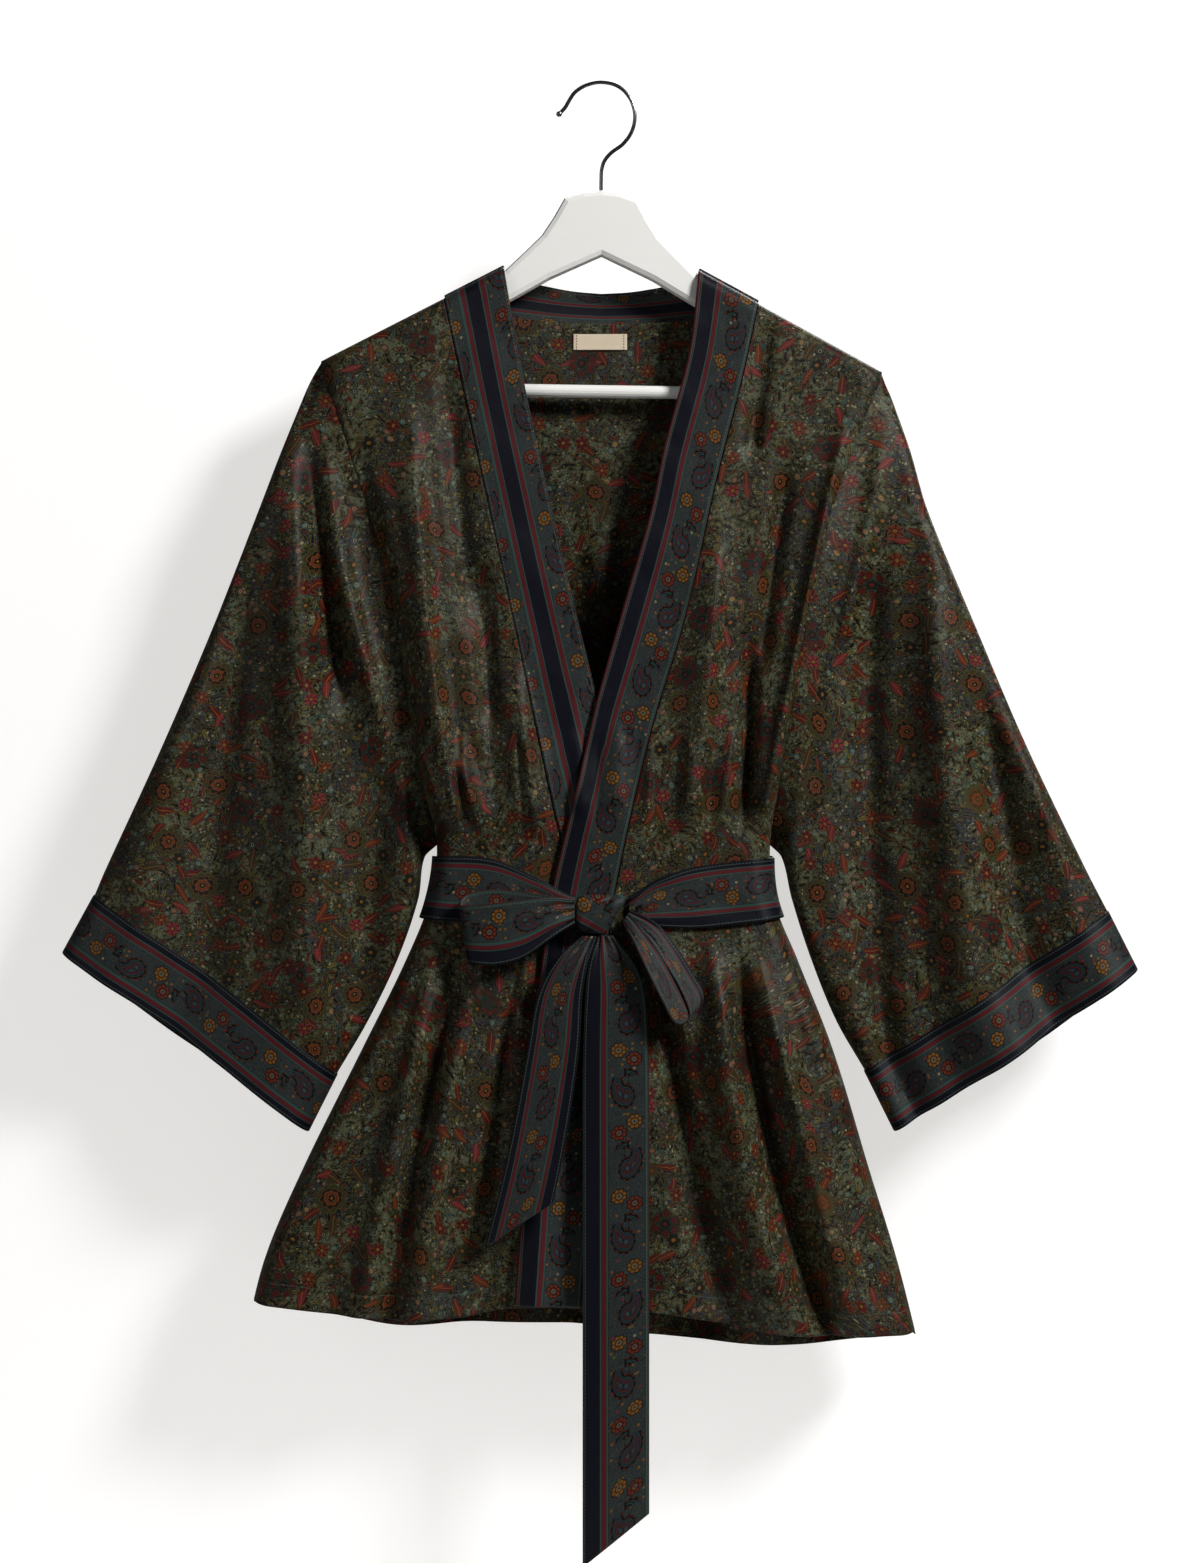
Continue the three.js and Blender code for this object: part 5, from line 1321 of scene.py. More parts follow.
@dataclass
class SleeveForm:
    """One sleeve's outline, folds and cuff, in millimetres."""

    form: RobeForm
    side: Side
    tip: float
    cuff_outer: tuple[float, float]
    cuff_inner: tuple[float, float]
    outer: Curve
    inner: Curve
    tip_x: float
    arm_x: float
    cuff_bow: float
    cuff_run: tuple[float, float, float, float]
    front_folds: tuple[Fold, ...]
    back_folds: tuple[Fold, ...]
    seed: int
    front: float = 17.0
    back: float = 16.0
    armhole_gap: float = -0.6
    cuff_width: float = 51.0
    cuff_back_drop: float = 5.0

    def outline(self, a: Array, t: Array) -> tuple[Array, Array, Array]:
        """A point of the flat outline: a blend of its four edges, less the blend of its four corners.

        Args:
            a: from the outer edge to the inner.
            t: from the armhole down to the cuff.

        Returns:
            x, z, and the armhole's height at a.
        """
        s = self.side.value
        arm_z = mix(self.tip, self.form.underarm, a)
        arm_x = self.form.seam(self.side)(arm_z) + s * self.armhole_gap
        cuff_x = mix(self.cuff_outer[0], self.cuff_inner[0], a)
        cuff_z = mix(self.cuff_outer[1], self.cuff_inner[1], a) + self.cuff_bow * np.sin(math.pi * a)
        outer_z = mix(self.tip, self.cuff_outer[1], t)
        inner_z = mix(self.form.underarm, self.cuff_inner[1], t)
        corner_x = mix(mix(self.tip_x, self.arm_x, a), mix(self.cuff_outer[0], self.cuff_inner[0], a), t)
        corner_z = mix(
            mix(self.tip, self.form.underarm, a), mix(self.cuff_outer[1], self.cuff_inner[1], a), t
        )
        x = mix(arm_x, cuff_x, t) + mix(self.outer(outer_z), self.inner(inner_z), a) - corner_x
        return x, mix(arm_z, cuff_z, t) + mix(outer_z, inner_z, a) - corner_z, arm_z

    def grain(self, grid: Array, t: Array) -> Array:
        """The flat sleeve's own coordinates in metres, with the back opened out across the inner edge.

        Each row starts at its place on the inner edge and runs straight for its true length: along
        the row's own direction on the front, and along the mirror image of it on the back.
        """
        steps = np.linalg.norm(np.concatenate([grid[:, 1:], grid[:, :1]], 1) - grid, axis=2)
        run = np.concatenate([np.zeros((len(grid), 1)), np.cumsum(steps, 1)], 1)
        run = run - run[:, [grid.shape[1] // 2]]
        none = np.zeros_like(t)
        outer, inner = (np.stack(self.outline(none + a, t)[:2], 1) for a in (0.0, 1.0))
        front = outer - inner
        front /= np.linalg.norm(front, axis=1, keepdims=True)
        edge = (inner[-1] - inner[0]) / np.linalg.norm(inner[-1] - inner[0])
        back = 2 * (front @ edge)[:, None] * edge - front
        is_front = (run < 0) if self.side is Side.LEFT else (run >= 0)
        way = np.where(is_front[..., None], front[:, None, :], back[:, None, :])
        return (inner[:, None, :] + np.abs(run)[..., None] * way) * MM + [3.1 * self.side.value, 0.0]

    def ring(self, u: Array, t: Array, beyond: Array) -> Array:
        """A closed ring round the sleeve: out along the front, home along the back.

        Each half is flat with a half-round edge of the side roll's radius at both sides, and its
        depth is the base depth and the folds.

        Args:
            u: round the ring.
            t: down the sleeve.
            beyond: 0 at the cuff's seam, 1 at its end.

        Returns:
            The points.
        """
        is_front = (u < 0.5) if self.side is Side.LEFT else (u >= 0.5)
        way = 2 * np.minimum(u, 1 - u)
        roll = self.form.side_roll
        from_x, from_z, _ = self.outline(0 * u, t)
        to_x, to_z, _ = self.outline(0 * u + 1, t)
        length = np.hypot(to_x - from_x, to_z - from_z)
        arc = roll * math.pi / 2
        whole = length - 2 * roll + 2 * arc
        run = way * whole
        near, far = run < arc, run > length - 2 * roll + arc
        angle_near, angle_far = np.minimum(run, arc) / roll, np.minimum(whole - run, arc) / roll
        reach = np.where(
            near, roll * (1 - np.cos(angle_near)),
            np.where(far, length - roll * (1 - np.cos(angle_far)), roll + run - arc)
        )
        share = np.where(near, np.sin(angle_near), np.where(far, np.sin(angle_far), 1.0))
        a = reach / length
        x, z, arm_z = self.outline(a, t)
        fold = np.where(is_front, folds_height(self.front_folds, x, z), folds_height(self.back_folds, x, z))
        soft = (
            0.6 * ripple(x + 0.3 * z, z * 0.5 + np.where(is_front, 0, 300), 40, self.seed)
            + 0.12 * ripple(x, z, 19, self.seed + 1)
        )
        hanging = np.where(is_front, self.front, self.back) + 1.35 * fold + soft
        hanging = (3 + 0.5 * (hanging - 3 + np.sqrt((hanging - 3) ** 2 + 4))) * share
        arm_z = np.maximum(arm_z, self.form.underarm + 0.01)
        form = self.form
        folds = (form.seam_depth(arm_z, self.side.value, f) for f in (form.front_folds, form.back_folds))
        sewn = np.maximum(np.where(is_front, *folds) - 0.3, 0)
        depth = mix(sewn, hanging, ease(0, 0.2, t))
        outer_x, outer_z, inner_x, inner_z = self.cuff_run
        drop = np.where(is_front, 1.0, 1 + self.cuff_back_drop / self.cuff_width * np.sin(math.pi * a))
        x = x + mix(outer_x, inner_x, a) * beyond * drop
        z = z + mix(outer_z, inner_z, a) * beyond * drop
        return np.stack([x, np.where(is_front, -depth, depth), z], 2)


# Sub-assemblies


@dataclass
class Finishes:
    """Every finish on the robe and its hanger."""

    ground: bpy.types.Material
    border: bpy.types.Material
    tape: bpy.types.Material
    lacquer: bpy.types.Material
    steel: bpy.types.Material

    @staticmethod
    def mixed() -> "Finishes":
        """Makes each finish once."""
        return Finishes(
            MilleFleur().make("mille_fleur_satin"), PaisleyBorder().make("paisley_border_satin"),
            WovenTape().make("label_tape"), Lacquer().make("white_lacquer"),
            PolishedSteel().make("polished_steel")
        )


def settle(piece: bpy.types.Object, slot: str, *nodes: str) -> bpy.types.Object:
    """Makes a finished piece ride with the robe and stand for its CAD nodes."""
    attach(piece, "root")
    if nodes:
        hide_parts(*nodes)
    log.info("%s: %d points, %d faces", piece.name, len(piece.data.vertices), len(piece.data.polygons))
    return piece


def sew(name: str, slot: str, shell: tuple[Array, ...], material: bpy.types.Material) -> bpy.types.Object:
    return settle(put_mesh(name, *shell, material), slot, name)


@dataclass
class Panels:
    """The printed panels: two fronts and the back."""

    form: RobeForm
    neck: NeckForm
    wall: float = 1.0
    front_most: float = 1.6
    back_least: float = 0.15
    columns: int = 84
    rows: int = 250

    def build(self, finishes: Finishes) -> None:
        down = edged(self.rows, 0.0007, [(self.form.roll_share, 10)])
        for side, cut in ((Side.LEFT, (0.29, 0.82, 0.129)), (Side.RIGHT, (0.27, 0.84, 0.131))):
            name = f"front_{side.name.lower()}"
            across = edged(self.columns, 0.0025)
            weave = Weave(across, down, 0.0025, 0.0007, self.wall, -self.wall, keep=self.before)
            start = -1 if side is Side.LEFT else 0
            shell = cloth_shell(self.form.front(side), weave, lambda g: grain(g, start, 0.4 * side.value))
            piece = sew(name, "print", shell, finishes.ground)
        across = edged(2 * self.columns, 0.0012)
        weave = Weave(across, down, 0.0012, 0.0007, self.wall, -self.wall, keep=self.behind)
        shell = cloth_shell(self.neck.back, weave, lambda g: grain(g, g.shape[1] // 2, 1.7))
        piece = sew("back", "print", shell, finishes.ground)

    def before(self, y: Array) -> Array:
        """Keeps the fronts' cloth before the back's, but for the edges that are drawn back."""
        return np.minimum(y, self.front_most)

    def behind(self, y: Array) -> Array:
        """Keeps the back's cloth behind the middle."""
        return np.maximum(y, self.back_least)


@dataclass
class Bands:
    """The doubled border bands: two down the fronts, one behind the neck, and the bare label below it."""

    form: RobeForm
    neck: NeckForm
    wall: float = 2.2
    proud: float = 0.8
    front_most: float = 0.8
    back_least: float = 0.15
    rows: int = 260

    def build(self, finishes: Finishes) -> None:
        down = edged(self.rows, 0.0014, [(self.form.roll_share, 10)])
        for side, print_at, cut in (
            (Side.LEFT, strip_print(33.3, 84.0, 0), (0.05, 0.83)),
            (Side.RIGHT, strip_print(46.5, 97.5, 25), (0.05, 0.83)),
        ):
            name = f"band_front_{side.name.lower()}"
            across, outer = edged(18, 0.022), self.proud - self.wall
            weave = Weave(across, down, 0.022, 0.0014, self.wall, outer, keep=self.before, sewn="sides")
            piece = sew(name, "border", cloth_shell(self.form.band(side), weave, print_at), finishes.border)
        across, down, outer = edged(120, 0.004), edged(16, 0.025), self.proud - self.wall
        weave = Weave(across, down, 0.004, 0.025, self.wall, outer, keep=self.behind, sewn="ends")
        shell = cloth_shell(self.neck.band, weave, strip_print(33.3, 84.0, 0, 1))
        piece = sew("band_neck", "border", shell, finishes.border)
        weave = Weave(edged(24, 0.01), edged(10, 0.03), 0.01, 0.03, 0.7, 0.0)
        shell = cloth_shell(self.neck.label, weave, lambda g: (g[..., [0, 2]] - [-1, -199.5]) * MM)
        piece = sew("label", "label", shell, finishes.tape)

    def before(self, y: Array) -> Array:
        """Keeps a front band's cloth before the back's."""
        return np.minimum(y, self.front_most)

    def behind(self, y: Array) -> Array:
        """Keeps the neckband's cloth behind the middle."""
        return np.maximum(y, self.back_least)


@dataclass
class Sleeves:
    """Both sleeves with their border cuffs."""

    form: RobeForm
    wall: float = 1.0
    cuff_wall: float = 2.2
    proud: float = 0.8
    past_seam: float = 1.008
    tuck: float = 8.0
    columns: int = 200
    rows: int = 96

    def left(self) -> SleeveForm:
        """The left sleeve's sizes."""
        return SleeveForm(
            self.form, Side.LEFT, -216.8, (-395, -632), (-206, -771),
            Curve(
                (-216.8, -219.4), (-222, -222.6), (-227.5, -225.8), (-238, -231), (-285, -250), (-332, -268),
                (-426, -304.5), (-519, -344), (-613, -387), (-632, -395)
            ),
            Curve((-593, -128.5), (-603, -138.5), (-636, -143.5), (-683, -159.5), (-730, -182), (-771, -206)),
            -219.4, -128.5, 4, (-25, -45.7, -23, -45.6),
            (
                Fold(-214, -232, -198, -380, -150, -540, 11, 12, 10, 0.2),
                Fold(-229, -250, -217, -360, -200, -500, 8, 14, -8),
                Fold(-243, -255, -233, -430, -232, -800, 13, 36, 15, 0.2),
                Fold(-268, -330, -290, -500, -316, -800, 12, 26, -8),
                Fold(-290, -420, -335, -540, -372, -760, 16, 30, 8),
                Fold(-166, -500, -176, -600, -190, -800, 16, 22, -9),
            ),
            (
                Fold(-216, -240, -202, -410, -160, -580, 16, 18, 8),
                Fold(-250, -290, -262, -500, -280, -800, 18, 40, 10),
                Fold(-196, -540, -212, -640, -232, -800, 16, 24, 5),
            ),
            41,
        )

    def right(self) -> SleeveForm:
        """The right sleeve's sizes."""
        return SleeveForm(
            self.form, Side.RIGHT, -225.2, (394, -644), (205, -768.5),
            Curve(
                (-225.2, 219.4), (-234, 222.6), (-246, 227.8), (-285, 241.5), (-332, 255), (-426, 293.5),
                (-519, 333), (-613, 378), (-644, 394)
            ),
            Curve((-593, 131.5), (-603, 141), (-636, 149), (-683, 164), (-730, 183), (-768.5, 205)),
            219.4, 131.5, -1, (23.7, -46.9, 23.9, -48),
            (
                Fold(219, -240, 207, -335, 180, -450, 9, 10, 9, -0.2),
                Fold(216, -340, 207, -510, 222, -720, 14, 20, -11),
                Fold(256, -320, 265, -520, 306, -810, 17, 42, 16, -0.2),
                Fold(280, -420, 306, -540, 338, -800, 12, 24, -8),
                Fold(304, -470, 342, -560, 374, -760, 16, 26, 7),
                Fold(208, -640, 220, -730, 234, -850, 11, 18, -9),
            ),
            (
                Fold(218, -244, 200, -410, 162, -590, 16, 18, 8),
                Fold(248, -300, 262, -520, 290, -800, 18, 42, 11),
                Fold(198, -540, 214, -650, 230, -800, 16, 24, 5),
            ),
            51,
        )

    def build(self, finishes: Finishes) -> None:
        around = np.linspace(0, 1, self.columns + 1)
        for sleeve in (self.left(), self.right()):
            word = sleeve.side.name.lower()
            down = edged(self.rows, 0.0012)
            weave = Weave(around, down, 0, 0.0012, self.wall, -self.wall, ring=True, sewn="none")
            run = np.minimum(weave.down * self.past_seam, 1.0)
            shell = cloth_shell(self.drape(sleeve), weave, lambda g: sleeve.grain(g, run))
            piece = sew(f"sleeve_{word}", "print", shell, finishes.ground)
            down, outer = edged(18, 0.022), self.proud - self.cuff_wall
            weave = Weave(around, down, 0, 0.022, self.cuff_wall, outer, ring=True, sewn="ends")
            shell = cloth_shell(
                lambda u, v: sleeve.ring(u, 0 * u + 1, mix(0.005, 1, v)), weave, self.cuff_print
            )
            piece = sew(f"cuff_{word}", "border", shell, finishes.border)

    def drape(self, sleeve: SleeveForm) -> Place:
        """A sleeve's cloth, which runs on a little way under its cuff."""

        def place(u: Array, v: Array) -> Array:
            """The sleeve to its cuff seam, then the start of the cuff's own way."""
            run = v * self.past_seam
            return sleeve.ring(u, np.minimum(run, 1.0), np.clip(run - 1, 0, 1) * self.tuck)

        return place

    def cuff_print(self, grid: Array) -> Array:
        """The border on a cuff: across from its seam to its end, along round the wrist."""
        run, falls = running(grid[len(grid) // 2], 0), running(grid.mean(1), 0)
        share = falls / falls[-1]
        return np.stack(np.broadcast_arrays(mix(5.0, 57.0, share)[:, None], run[None, :]), 2) * MM


def ribbon(rows: Sequence[Sequence[float]], crown: float, pleats: float, knot_end: str) -> Place:
    """A ribbon through a table of sections, each from edge a to edge b.

    Between the two edges the cloth stands forward by a half sine, and small pleats gather it
    towards the knot: they are sines across the ribbon that fade along it.

    Args:
        rows: ax, ay, az, bx, by, bz for each section.
        crown: how far the middle stands forward.
        pleats: height of the pleats at the knot.
        knot_end: "start" or "both", the ends that go into the knot.

    Returns:
        The surface of across and along.
    """
    table = evenly(rows)

    def place(u: Array, v: Array) -> Array:
        """Reads both edges and bulges between them."""
        near = np.exp(-v * 9) if knot_end == "start" else np.exp(-v * 9) + np.exp(-(1 - v) * 9)
        wave = pleats * near * (
            np.sin(2 * math.pi * (3.2 * u + 0.15)) + 0.5 * np.sin(2 * math.pi * (5.1 * u + 0.6))
        )
        x = mix(table(v, 0), table(v, 3), u)
        y = mix(table(v, 1), table(v, 4), u) - 2.5 - crown * np.sin(math.pi * u) - wave
        return np.stack([x, y, mix(table(v, 2), table(v, 5), u)], 2)

    return place


@dataclass
class Belt:
    """The belt round the waist, its knot, two loops and two tails."""

    form: RobeForm
    wall: float = 1.8
    lift: float = 2.0
    edges: Curve = Curve(
        (-140, -602, -651), (-87, -603, -653), (-50, -618, -655), (-20, -634, -653), (20, -634, -653),
        (42, -620, -656), (77, -609, -657), (140, -602, -650.5)
    )
    loop_left: tuple = (
        (-20.6, -43, -634, -20.6, -42, -653), (-38, -49, -632.5, -38, -47, -664),
        (-60, -53, -634.5, -60, -50, -679),
        (-82, -54, -637, -80, -52, -684.5), (-101, -51, -639, -96, -51, -684),
        (-109, -45, -638, -102, -45.5, -682),
        (-104, -38, -631, -98, -39.5, -676), (-84, -35.5, -627, -80, -36.5, -668),
        (-56, -35, -629.5, -54, -35.5, -662),
        (-34, -35.5, -632.5, -34, -35.5, -656), (-20.6, -36, -635, -20.6, -36, -652),
    )
    loop_right: tuple = (
        (16.4, -42.5, -653, 20, -38.5, -645), (25, -58, -668, 32, -42, -657), (35, -66, -689, 48, -46, -676),
        (46, -69, -711, 60, -48, -698), (54, -68, -726, 69, -49, -714), (61, -63, -729, 76, -46, -716),
        (67, -58, -722, 78, -43, -706), (60, -54, -703, 70, -41, -692), (48, -51, -683, 57, -40, -671),
        (35, -46, -664, 42, -38.5, -653), (19.5, -40, -651.5, 20.7, -35.5, -643),
    )
    tail_left: tuple = (
        (-15, -40.5, -662.75, -4, -41, -662.75), (-34, -47, -680, -10, -49, -682),
        (-49, -48, -708, -14.5, -52, -708),
        (-57, -49, -750, -16.5, -54, -745), (-66, -51, -800, -22, -55, -787),
        (-76, -53, -848, -29, -56, -828),
        (-89, -54, -900, -37, -57, -866),
    )
    tail_right: tuple = (
        (-3, -38.5, -662.6, 8, -38.5, -662.6), (-9.5, -44, -682, 23, -45, -680),
        (-12.5, -47, -706, 33, -48, -704),
        (-14.5, -48.5, -760, 36, -50.5, -756), (-14.5, -50.5, -850, 36.5, -53, -840),
        (-14.5, -53, -950, 36.5, -55, -935),
        (-14.5, -53, -1050, 36.5, -54.5, -1022), (-14.5, -52, -1145.5, 36.5, -53, -1104),
    )
    knot_left: Curve = Curve((-631, -19.5), (-638, -20.6), (-647, -20.4), (-656, -19.6), (-662, -15.5))
    knot_right: Curve = Curve((-631, 20.2), (-637, 18.5), (-645, 12.5), (-653, 8.2), (-662, 5.0))

    def waist(self, u: Array, v: Array) -> Array:
        """The waist strip from the knot's left, round the back, to its right, pleated at the knot."""
        f = self.form
        front = (u <= 0.25) | (u >= 0.75)
        knot_side = 20.6
        sign = np.where(u < 0.5, -1.0, 1.0)
        part = np.where(u <= 0.25, u * 4, np.where(u >= 0.75, 4 - 4 * u, 0.0))
        x = sign * mix(knot_side, 130, part)
        for _ in range(6):
            z = mix(self.edges(x, 0), self.edges(x, 1), v)
            seam = np.where(sign < 0, f.seam_left(z), f.seam_right(z))
            x, share = f.roll_in(1 - part, seam, sign * knot_side, sign, 0.1 + 0 * x, f.front_depth(x, z))
        close = np.exp(-((np.abs(x) - knot_side) / 15))
        pleat = close * (
            1.3 * np.sin(2 * math.pi * (2.6 * v + 0.1 * sign)) + 0.6 * np.sin(2 * math.pi * (4.7 * v + 0.3))
        )
        soft = 0.35 * ripple(x, z * 2.2, 46, 61) + 0.5 * np.sin(math.pi * v)
        ahead = np.stack(
            [x, -(f.front_depth(x, z) * share + np.maximum(pleat, -0.6) + np.maximum(soft, -0.3)), z], 2
        )
        half = np.where(u <= 0.5, (u - 0.25) * 4, (0.75 - u) * 4)
        z_back = mix(-602.0, -651.0, v)
        seam = np.where(sign < 0, f.seam_left(z_back), f.seam_right(z_back))
        x_back, share = f.roll_in(np.clip(half, 0, 1), seam, 0 * u, sign, 0.1 + 0 * u, f.depth(z_back, 1))
        soft = np.maximum(0.35 * ripple(x_back, z_back * 2.2, 46, 63), -0.3) + 0.5 * np.sin(math.pi * v)
        behind = np.stack([x_back, f.back_depth(x_back, z_back) * share + soft * share, z_back], 2)
        return np.where(front[..., None], ahead, behind)

    def knot(self, u: Array, v: Array) -> Array:
        """The knot: a pillow wider at the top, with the wrap's crease down from its upper right.

        Each height has a flattened oval section between the knot's left and right outlines. Its
        depth shrinks as a quarter circle towards the top and the bottom, and a trough is pressed
        along the crease.
        """
        z = mix(-631.0, -662.0, v)
        left, right = self.knot_left(z), self.knot_right(z)
        middle, half = (left + right) / 2, (right - left) / 2
        turn = 2 * math.pi * u
        side, front = (np.sign(c) * np.abs(c) ** 0.62 for c in (np.cos(turn), np.sin(turn)))
        cap = np.sqrt(np.clip(1 - np.abs(2 * v - 1) ** 3.2, 0, 1))
        x = middle - half * side * mix(0.72, 1.0, cap)
        y = -41.6 - 8.2 * front * cap
        off = (x - mix(9.0, -13.0, v)) * 0.82 + 0.4 * np.sin(9 * v)
        crease = 3.0 * np.exp(-((off / 2.0) ** 2)) - 1.2 * np.exp(-(((off + 5) / 4.5) ** 2))
        second = 1.5 * np.exp(-(((x - mix(-4.0, -17.0, v)) / 1.6) ** 2))
        y = y + np.where(y < -41.6, crease + second, 0.0) * cap
        return np.stack([x, np.maximum(y, -49.4), z], 2)

    def knot_mesh(self, material: bpy.types.Material) -> bpy.types.Object:
        """Closes the knot's surface at its top and bottom and puts the border on it."""
        columns, rows = 96, 60
        steps = (1 - np.cos(np.linspace(0, math.pi, rows + 1))) / 2
        u, v = np.meshgrid(np.linspace(0, 1, columns + 1)[:-1], steps)
        grid = self.knot(u, v)
        ids = np.arange(grid[..., 0].size).reshape(u.shape)
        ids[0, :], ids[-1, :] = ids[0, 0], ids[-1, 0]
        grid[0, :], grid[-1, :] = grid[0].mean(0), grid[-1].mean(0)
        ids = np.concatenate([ids, ids[:, :1]], 1)
        print_across = 26 + (grid[..., 2] + 645) * 0.9 + 0.5 * grid[..., 0]
        print_along = 24 + grid[..., 0] * 0.9 - grid[..., 2] * 0.3
        flat = np.stack([print_across, print_along], 2) * MM
        flat = np.concatenate([flat, flat[:, :1]], 1)
        order = [0, 3, 2, 1]
        quads = np.stack([n.ravel() for n in corners(ids)], 1)[:, order]
        uv = np.stack([n.reshape(-1, 2) for n in corners(flat)], 1)[:, order]
        return self.faced("belt_knot", grid.reshape(-1, 3) * MM, quads, uv, material)

    def faced(
        self, name: str, points: Array, quads: Array, uv: Array, material: bpy.types.Material
    ) -> bpy.types.Object:
        """Makes a mesh from quads, of which some at the poles are triangles."""
        name = f"{name}_cloth"
        mesh = bpy.data.meshes.new(name)
        faces = [tuple(dict.fromkeys(q)) for q in quads.tolist()]
        kept = [k for k, q in enumerate(faces) if len(q) > 2]
        mesh.from_pydata(points.tolist(), [], [faces[k] for k in kept])
        layer = mesh.uv_layers.new(name="cloth")
        seams = mesh.uv_layers.new(name="sewing")
        picked = np.concatenate([[uv[k][list(quads[k]).index(p)] for p in faces[k]] for k in kept])
        layer.uv.foreach_set("vector", picked.astype(np.float32).ravel())
        seams.uv.foreach_set("vector", np.full(picked.size, 1.0, np.float32))
        mesh.polygons.foreach_set("use_smooth", np.ones(len(kept), bool))
        mesh.validate()
        mesh.materials.append(material)
        return hang(name, mesh)

    def build(self, finishes: Finishes) -> None:
        around = edged(260, 0.0017)
        weave = Weave(around, edged(22, 0.018), 0.0017, 0.018, self.wall, self.lift, turn=True, sewn="ends")
        shell = cloth_shell(self.waist, weave, strip_print(6.0, 61.5, 11, 1))
        piece = sew("belt_waist", "border", shell, finishes.border)
        settle(self.knot_mesh(finishes.border), "border", "belt_knot")
        for name, rows, crown, pleats, ends, print_at, cut in (
            (
                "belt_loop_left", self.loop_left, 0.6, 1.7, "both", strip_print(15.5, 61.5, 30),
                (0.045, 0.19, 0.0075)
            ),
            (
                "belt_loop_right", self.loop_right, 0.4, 1.2, "both", strip_print(18.0, 62.0, 8),
                (0.03, 0.17, 0.0045)
            ),
            (
                "belt_tail_left", self.tail_left, 1.0, 1.5, "start", strip_print(3.0, 62.0, 44),
                (0.045, 0.24, 0.0095)
            ),
            (
                "belt_tail_right", self.tail_right, 1.0, 1.4, "start", strip_print(-1.0, 47.0, 2),
                (0.051, 0.48, 0.0235)
            ),
        ):
            down = edged(150 if "tail" in name else 130, 0.003)
            weave = Weave(edged(20, 0.02), down, 0.02, 0.003, self.wall, -self.wall / 2, sewn="sides")
            shell = cloth_shell(ribbon(rows, crown, pleats, ends), weave, print_at)
            piece = sew(name, "border", shell, finishes.border)


@dataclass
class Hanger:
    """The lacquered hanger with its bar, and its swivel hook of round wire with a ball at its end."""

    wire: float = 1.5
    ball: float = 2.3
    path: tuple = (
        (-34.7, -24.8), (-31.4, -21.6), (-28.1, -17.8), (-24.9, -12.2), (-20.6, -6.2), (-12.1, -0.9),
        (-0.4, 1.5), (12.9, -1.6),
        (22.2, -10.8), (26.1, -24.0), (23.8, -36.5), (16.8, -46.6), (7.4, -53.7), (2.3, -59.9), (0.2, -66.9),
        (-0.2, -75.0), (-0.3, -84.5),
    )

    def hook(self, material: bpy.types.Material) -> bpy.types.Object:
        """Sweeps a round section along the hook's path and swells it into the ball at its free end.

        The radius is the wire's, or the ball's circle within the ball's reach of the free end.
        """
        spots = np.array(self.path)
        along = running(spots, 0)
        table = Curve(*[(a, *p) for a, p in zip(along, spots)])
        over_ball = self.ball * (1 - np.cos(np.linspace(0.02, math.pi * 0.75, 16)))
        steps = np.concatenate([over_ball, np.linspace(4.4, along[-1], 190)])
        x, z = table(steps, 0), table(steps, 1)
        tangent = np.stack([np.gradient(x, steps), np.gradient(z, steps)], 1)
        tangent /= np.linalg.norm(tangent, axis=1, keepdims=True)
        round_ball = np.sqrt(np.clip(self.ball**2 - (steps - self.ball) ** 2, 0, None))
        radius = np.maximum(round_ball, np.where(steps > self.ball, self.wire, 0))
        turn = np.linspace(0, 2 * math.pi, 25)[:-1][None, :]
        side = radius[:, None] * np.cos(turn)
        ring_x, ring_z = x[:, None] - tangent[:, 1:] * side, z[:, None] + tangent[:, :1] * side
        points = np.stack([ring_x, radius[:, None] * np.sin(turn), ring_z], 2)
        rows, columns = points.shape[:2]
        ids = np.arange(rows * columns).reshape(rows, columns)
        ids = np.concatenate([ids, ids[:, :1]], 1)
        quads = np.stack([n.ravel() for n in corners(ids)], 1)[:, [0, 3, 2, 1]]
        mesh = bpy.data.meshes.new("hook_wire")
        caps = [ids[0, :-1].tolist(), ids[-1, -2::-1].tolist()]
        mesh.from_pydata((points.reshape(-1, 3) * MM).tolist(), [], quads.tolist() + caps)
        mesh.polygons.foreach_set("use_smooth", np.ones(len(mesh.polygons), bool))
        mesh.validate()
        mesh.materials.append(material)
        return hang("hook_wire", mesh)

    def build(self, finishes: Finishes) -> None:
        """Sweeps the hook, and gives the CAD's arms and bar their lacquer."""
        settle(self.hook(finishes.steel), "hook", "hanger_hook")
        for name in ("hanger_arms", "hanger_bar"):
            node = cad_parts[name]
            node.data.materials.clear()
            node.data.materials.append(finishes.lacquer)
            log.info("%s: kept from the CAD", name)


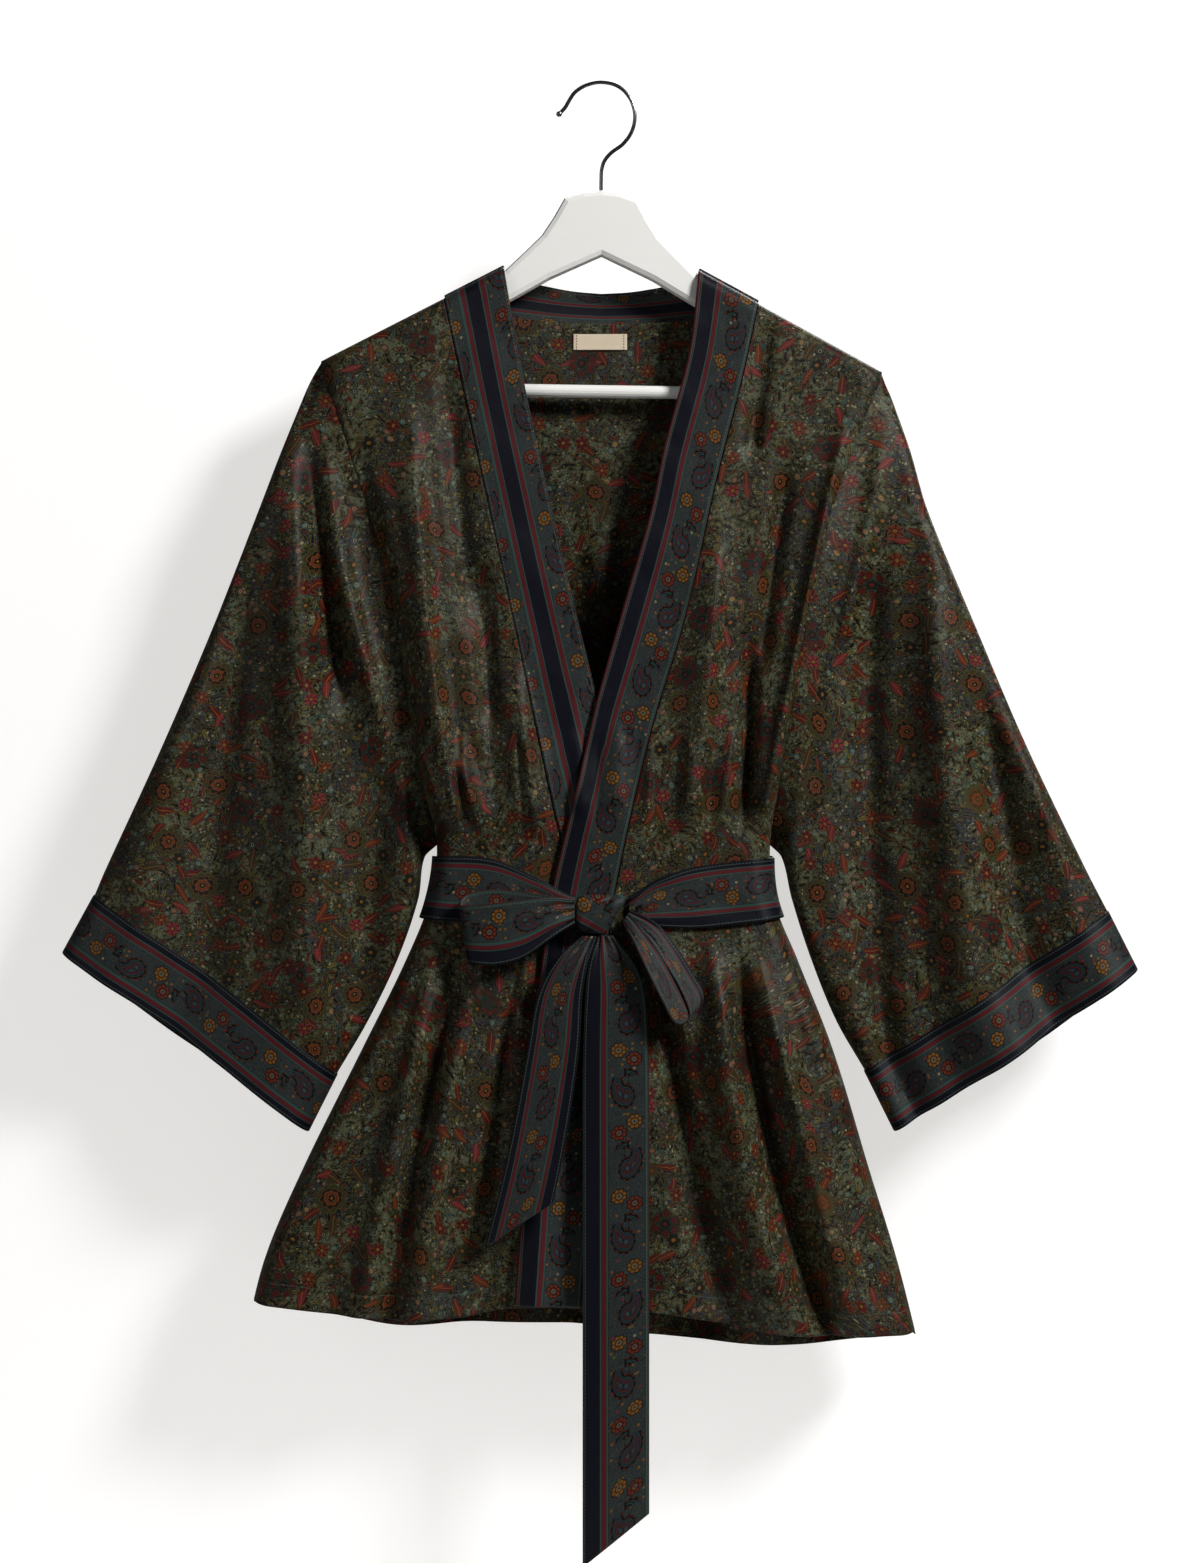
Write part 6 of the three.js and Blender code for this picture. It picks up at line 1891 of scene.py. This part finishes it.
@dataclass
class Studio:
    """The camera at the photograph's angle, soft light, and a pale floor below the robe."""

    camera_at: tuple[float, float, float] = (-0.00117, -2.8786, -0.5439)
    lens: float = 85.0
    floor_z: float = -1.3
    wall_y: float = 0.07

    def build(self) -> None:
        """Sets the camera, the lights, the world and the floor."""
        data = bpy.data.cameras.new("camera")
        data.lens, data.sensor_width, data.clip_end = self.lens, 36.0, 50.0
        camera = hang("camera", data)
        camera.location, camera.rotation_euler = self.camera_at, (math.pi / 2, 0.0, 0.0)
        bpy.context.scene.camera = camera
        self.light("key", (2.15, -1.8, 1.4), 0.75, 140.0)
        self.light("left_fill", (-2.4, -1.9, 0.2), 1.6, 13.0)
        self.light("back_fill", (0.6, 2.6, 0.9), 1.8, 80.0)
        world = bpy.data.worlds.new("studio")
        world.use_nodes = True
        tree = world.node_tree
        backdrop = tree.nodes["Background"]
        dim = tree.nodes.new("ShaderNodeBackground")
        backdrop.inputs[0].default_value, backdrop.inputs[1].default_value = (0.985, 0.985, 0.98, 1.0), 1.0
        dim.inputs[0].default_value, dim.inputs[1].default_value = (0.95, 0.97, 1.0, 1.0), 0.075
        seen, both = tree.nodes.new("ShaderNodeLightPath"), tree.nodes.new("ShaderNodeMixShader")
        tree.links.new(seen.outputs["Is Camera Ray"], both.inputs[0])
        tree.links.new(dim.outputs[0], both.inputs[1])
        tree.links.new(backdrop.outputs[0], both.inputs[2])
        tree.links.new(both.outputs[0], tree.nodes["World Output"].inputs[0])
        bpy.context.scene.world = world
        bpy.context.scene.view_settings.view_transform = "Standard"
        self.floor()
        self.wall()

    def light(self, name: str, place: tuple[float, float, float], size: float, power: float) -> None:
        """Adds a square soft light that faces the robe's middle."""
        data = bpy.data.lights.new(name, "AREA")
        data.size, data.energy = size, power
        lamp = hang(name, data)
        lamp.location = place
        lamp.rotation_euler = (Vector(place) - Vector((0.0, 0.0, -0.55))).to_track_quat("Z", "Y").to_euler()

    def wall(self) -> None:
        """A plain white wall close behind, which takes the soft shadow. It has a front and no back."""
        web = Web("white_wall")
        place = web.node("ShaderNodeTexCoord", {}, {})[3]
        cloud = web.node("ShaderNodeTexNoise", {}, {"Vector": place, "Scale": 3.0, "Detail": 2.0})[0]
        web.finish(web.blend(cloud * 0.2, (0.5, 0.5, 0.5), (0.48, 0.48, 0.48)), 0.9, None, 0.0)
        web.shine(Specular_IOR_Level=0.0, Emission_Strength=0.64)
        web.shader.inputs["Emission Color"].default_value = (1.0, 0.985, 0.96, 1.0)
        clear = web.node("ShaderNodeBsdfTransparent", {}, {})[0]
        behind = web.node("ShaderNodeNewGeometry", {}, {})[6]
        both = web.node(
            "ShaderNodeMixShader", {}, {0: behind, 1: Wire(web, web.shader.outputs[0]), 2: clear}
        )[0]
        web.tree.links.new(both.end, web.tree.nodes["Material Output"].inputs[0])
        size, y = 4.0, self.wall_y
        mesh = bpy.data.meshes.new("wall")
        mesh.from_pydata(
            [(-size, y, -size), (size, y, -size), (size, y, size), (-size, y, size)], [], [(0, 1, 2, 3)]
        )
        mesh.materials.append(web.material)
        sheet = hang("wall", mesh)
        sheet.visible_diffuse = sheet.visible_glossy = False
        sheet.visible_transmission = sheet.visible_shadow = False

    def floor(self) -> None:
        """A pale slab under the robe, out of the camera's view."""
        web = Web("pale_floor")
        place = web.node("ShaderNodeTexCoord", {}, {})[3]
        cloud = web.node("ShaderNodeTexNoise", {}, {"Vector": place, "Scale": 6.0, "Detail": 3.0})[0]
        material = web.finish(
            web.blend(cloud * 0.4, srgb(236, 236, 234), srgb(228, 228, 226)), 0.7, cloud, 0.001, 0.1
        )
        x, y, z, thick = 0.75, 0.5, self.floor_z, 0.02
        points = [
            (i * x, j * y, z - k * thick) for k in (0, 1) for i, j in ((-1, -1), (1, -1), (1, 1), (-1, 1))
        ]
        mesh = bpy.data.meshes.new("floor")
        mesh.from_pydata(
            points, [], [(0, 1, 2, 3), (7, 6, 5, 4), (0, 4, 5, 1), (1, 5, 6, 2), (2, 6, 7, 3), (3, 7, 4, 0)]
        )
        mesh.materials.append(material)
        slab = hang("floor", mesh)


def main() -> None:
    logging.basicConfig(level=logging.INFO, format="%(name)s: %(message)s")
    finishes = Finishes.mixed()
    form = RobeForm()
    neck = NeckForm(form)
    Panels(form, neck).build(finishes)
    Bands(form, neck).build(finishes)
    Sleeves(form).build(finishes)
    Belt(form).build(finishes)
    Hanger().build(finishes)
    Studio().build()


if __name__ == "__main__":
    main()
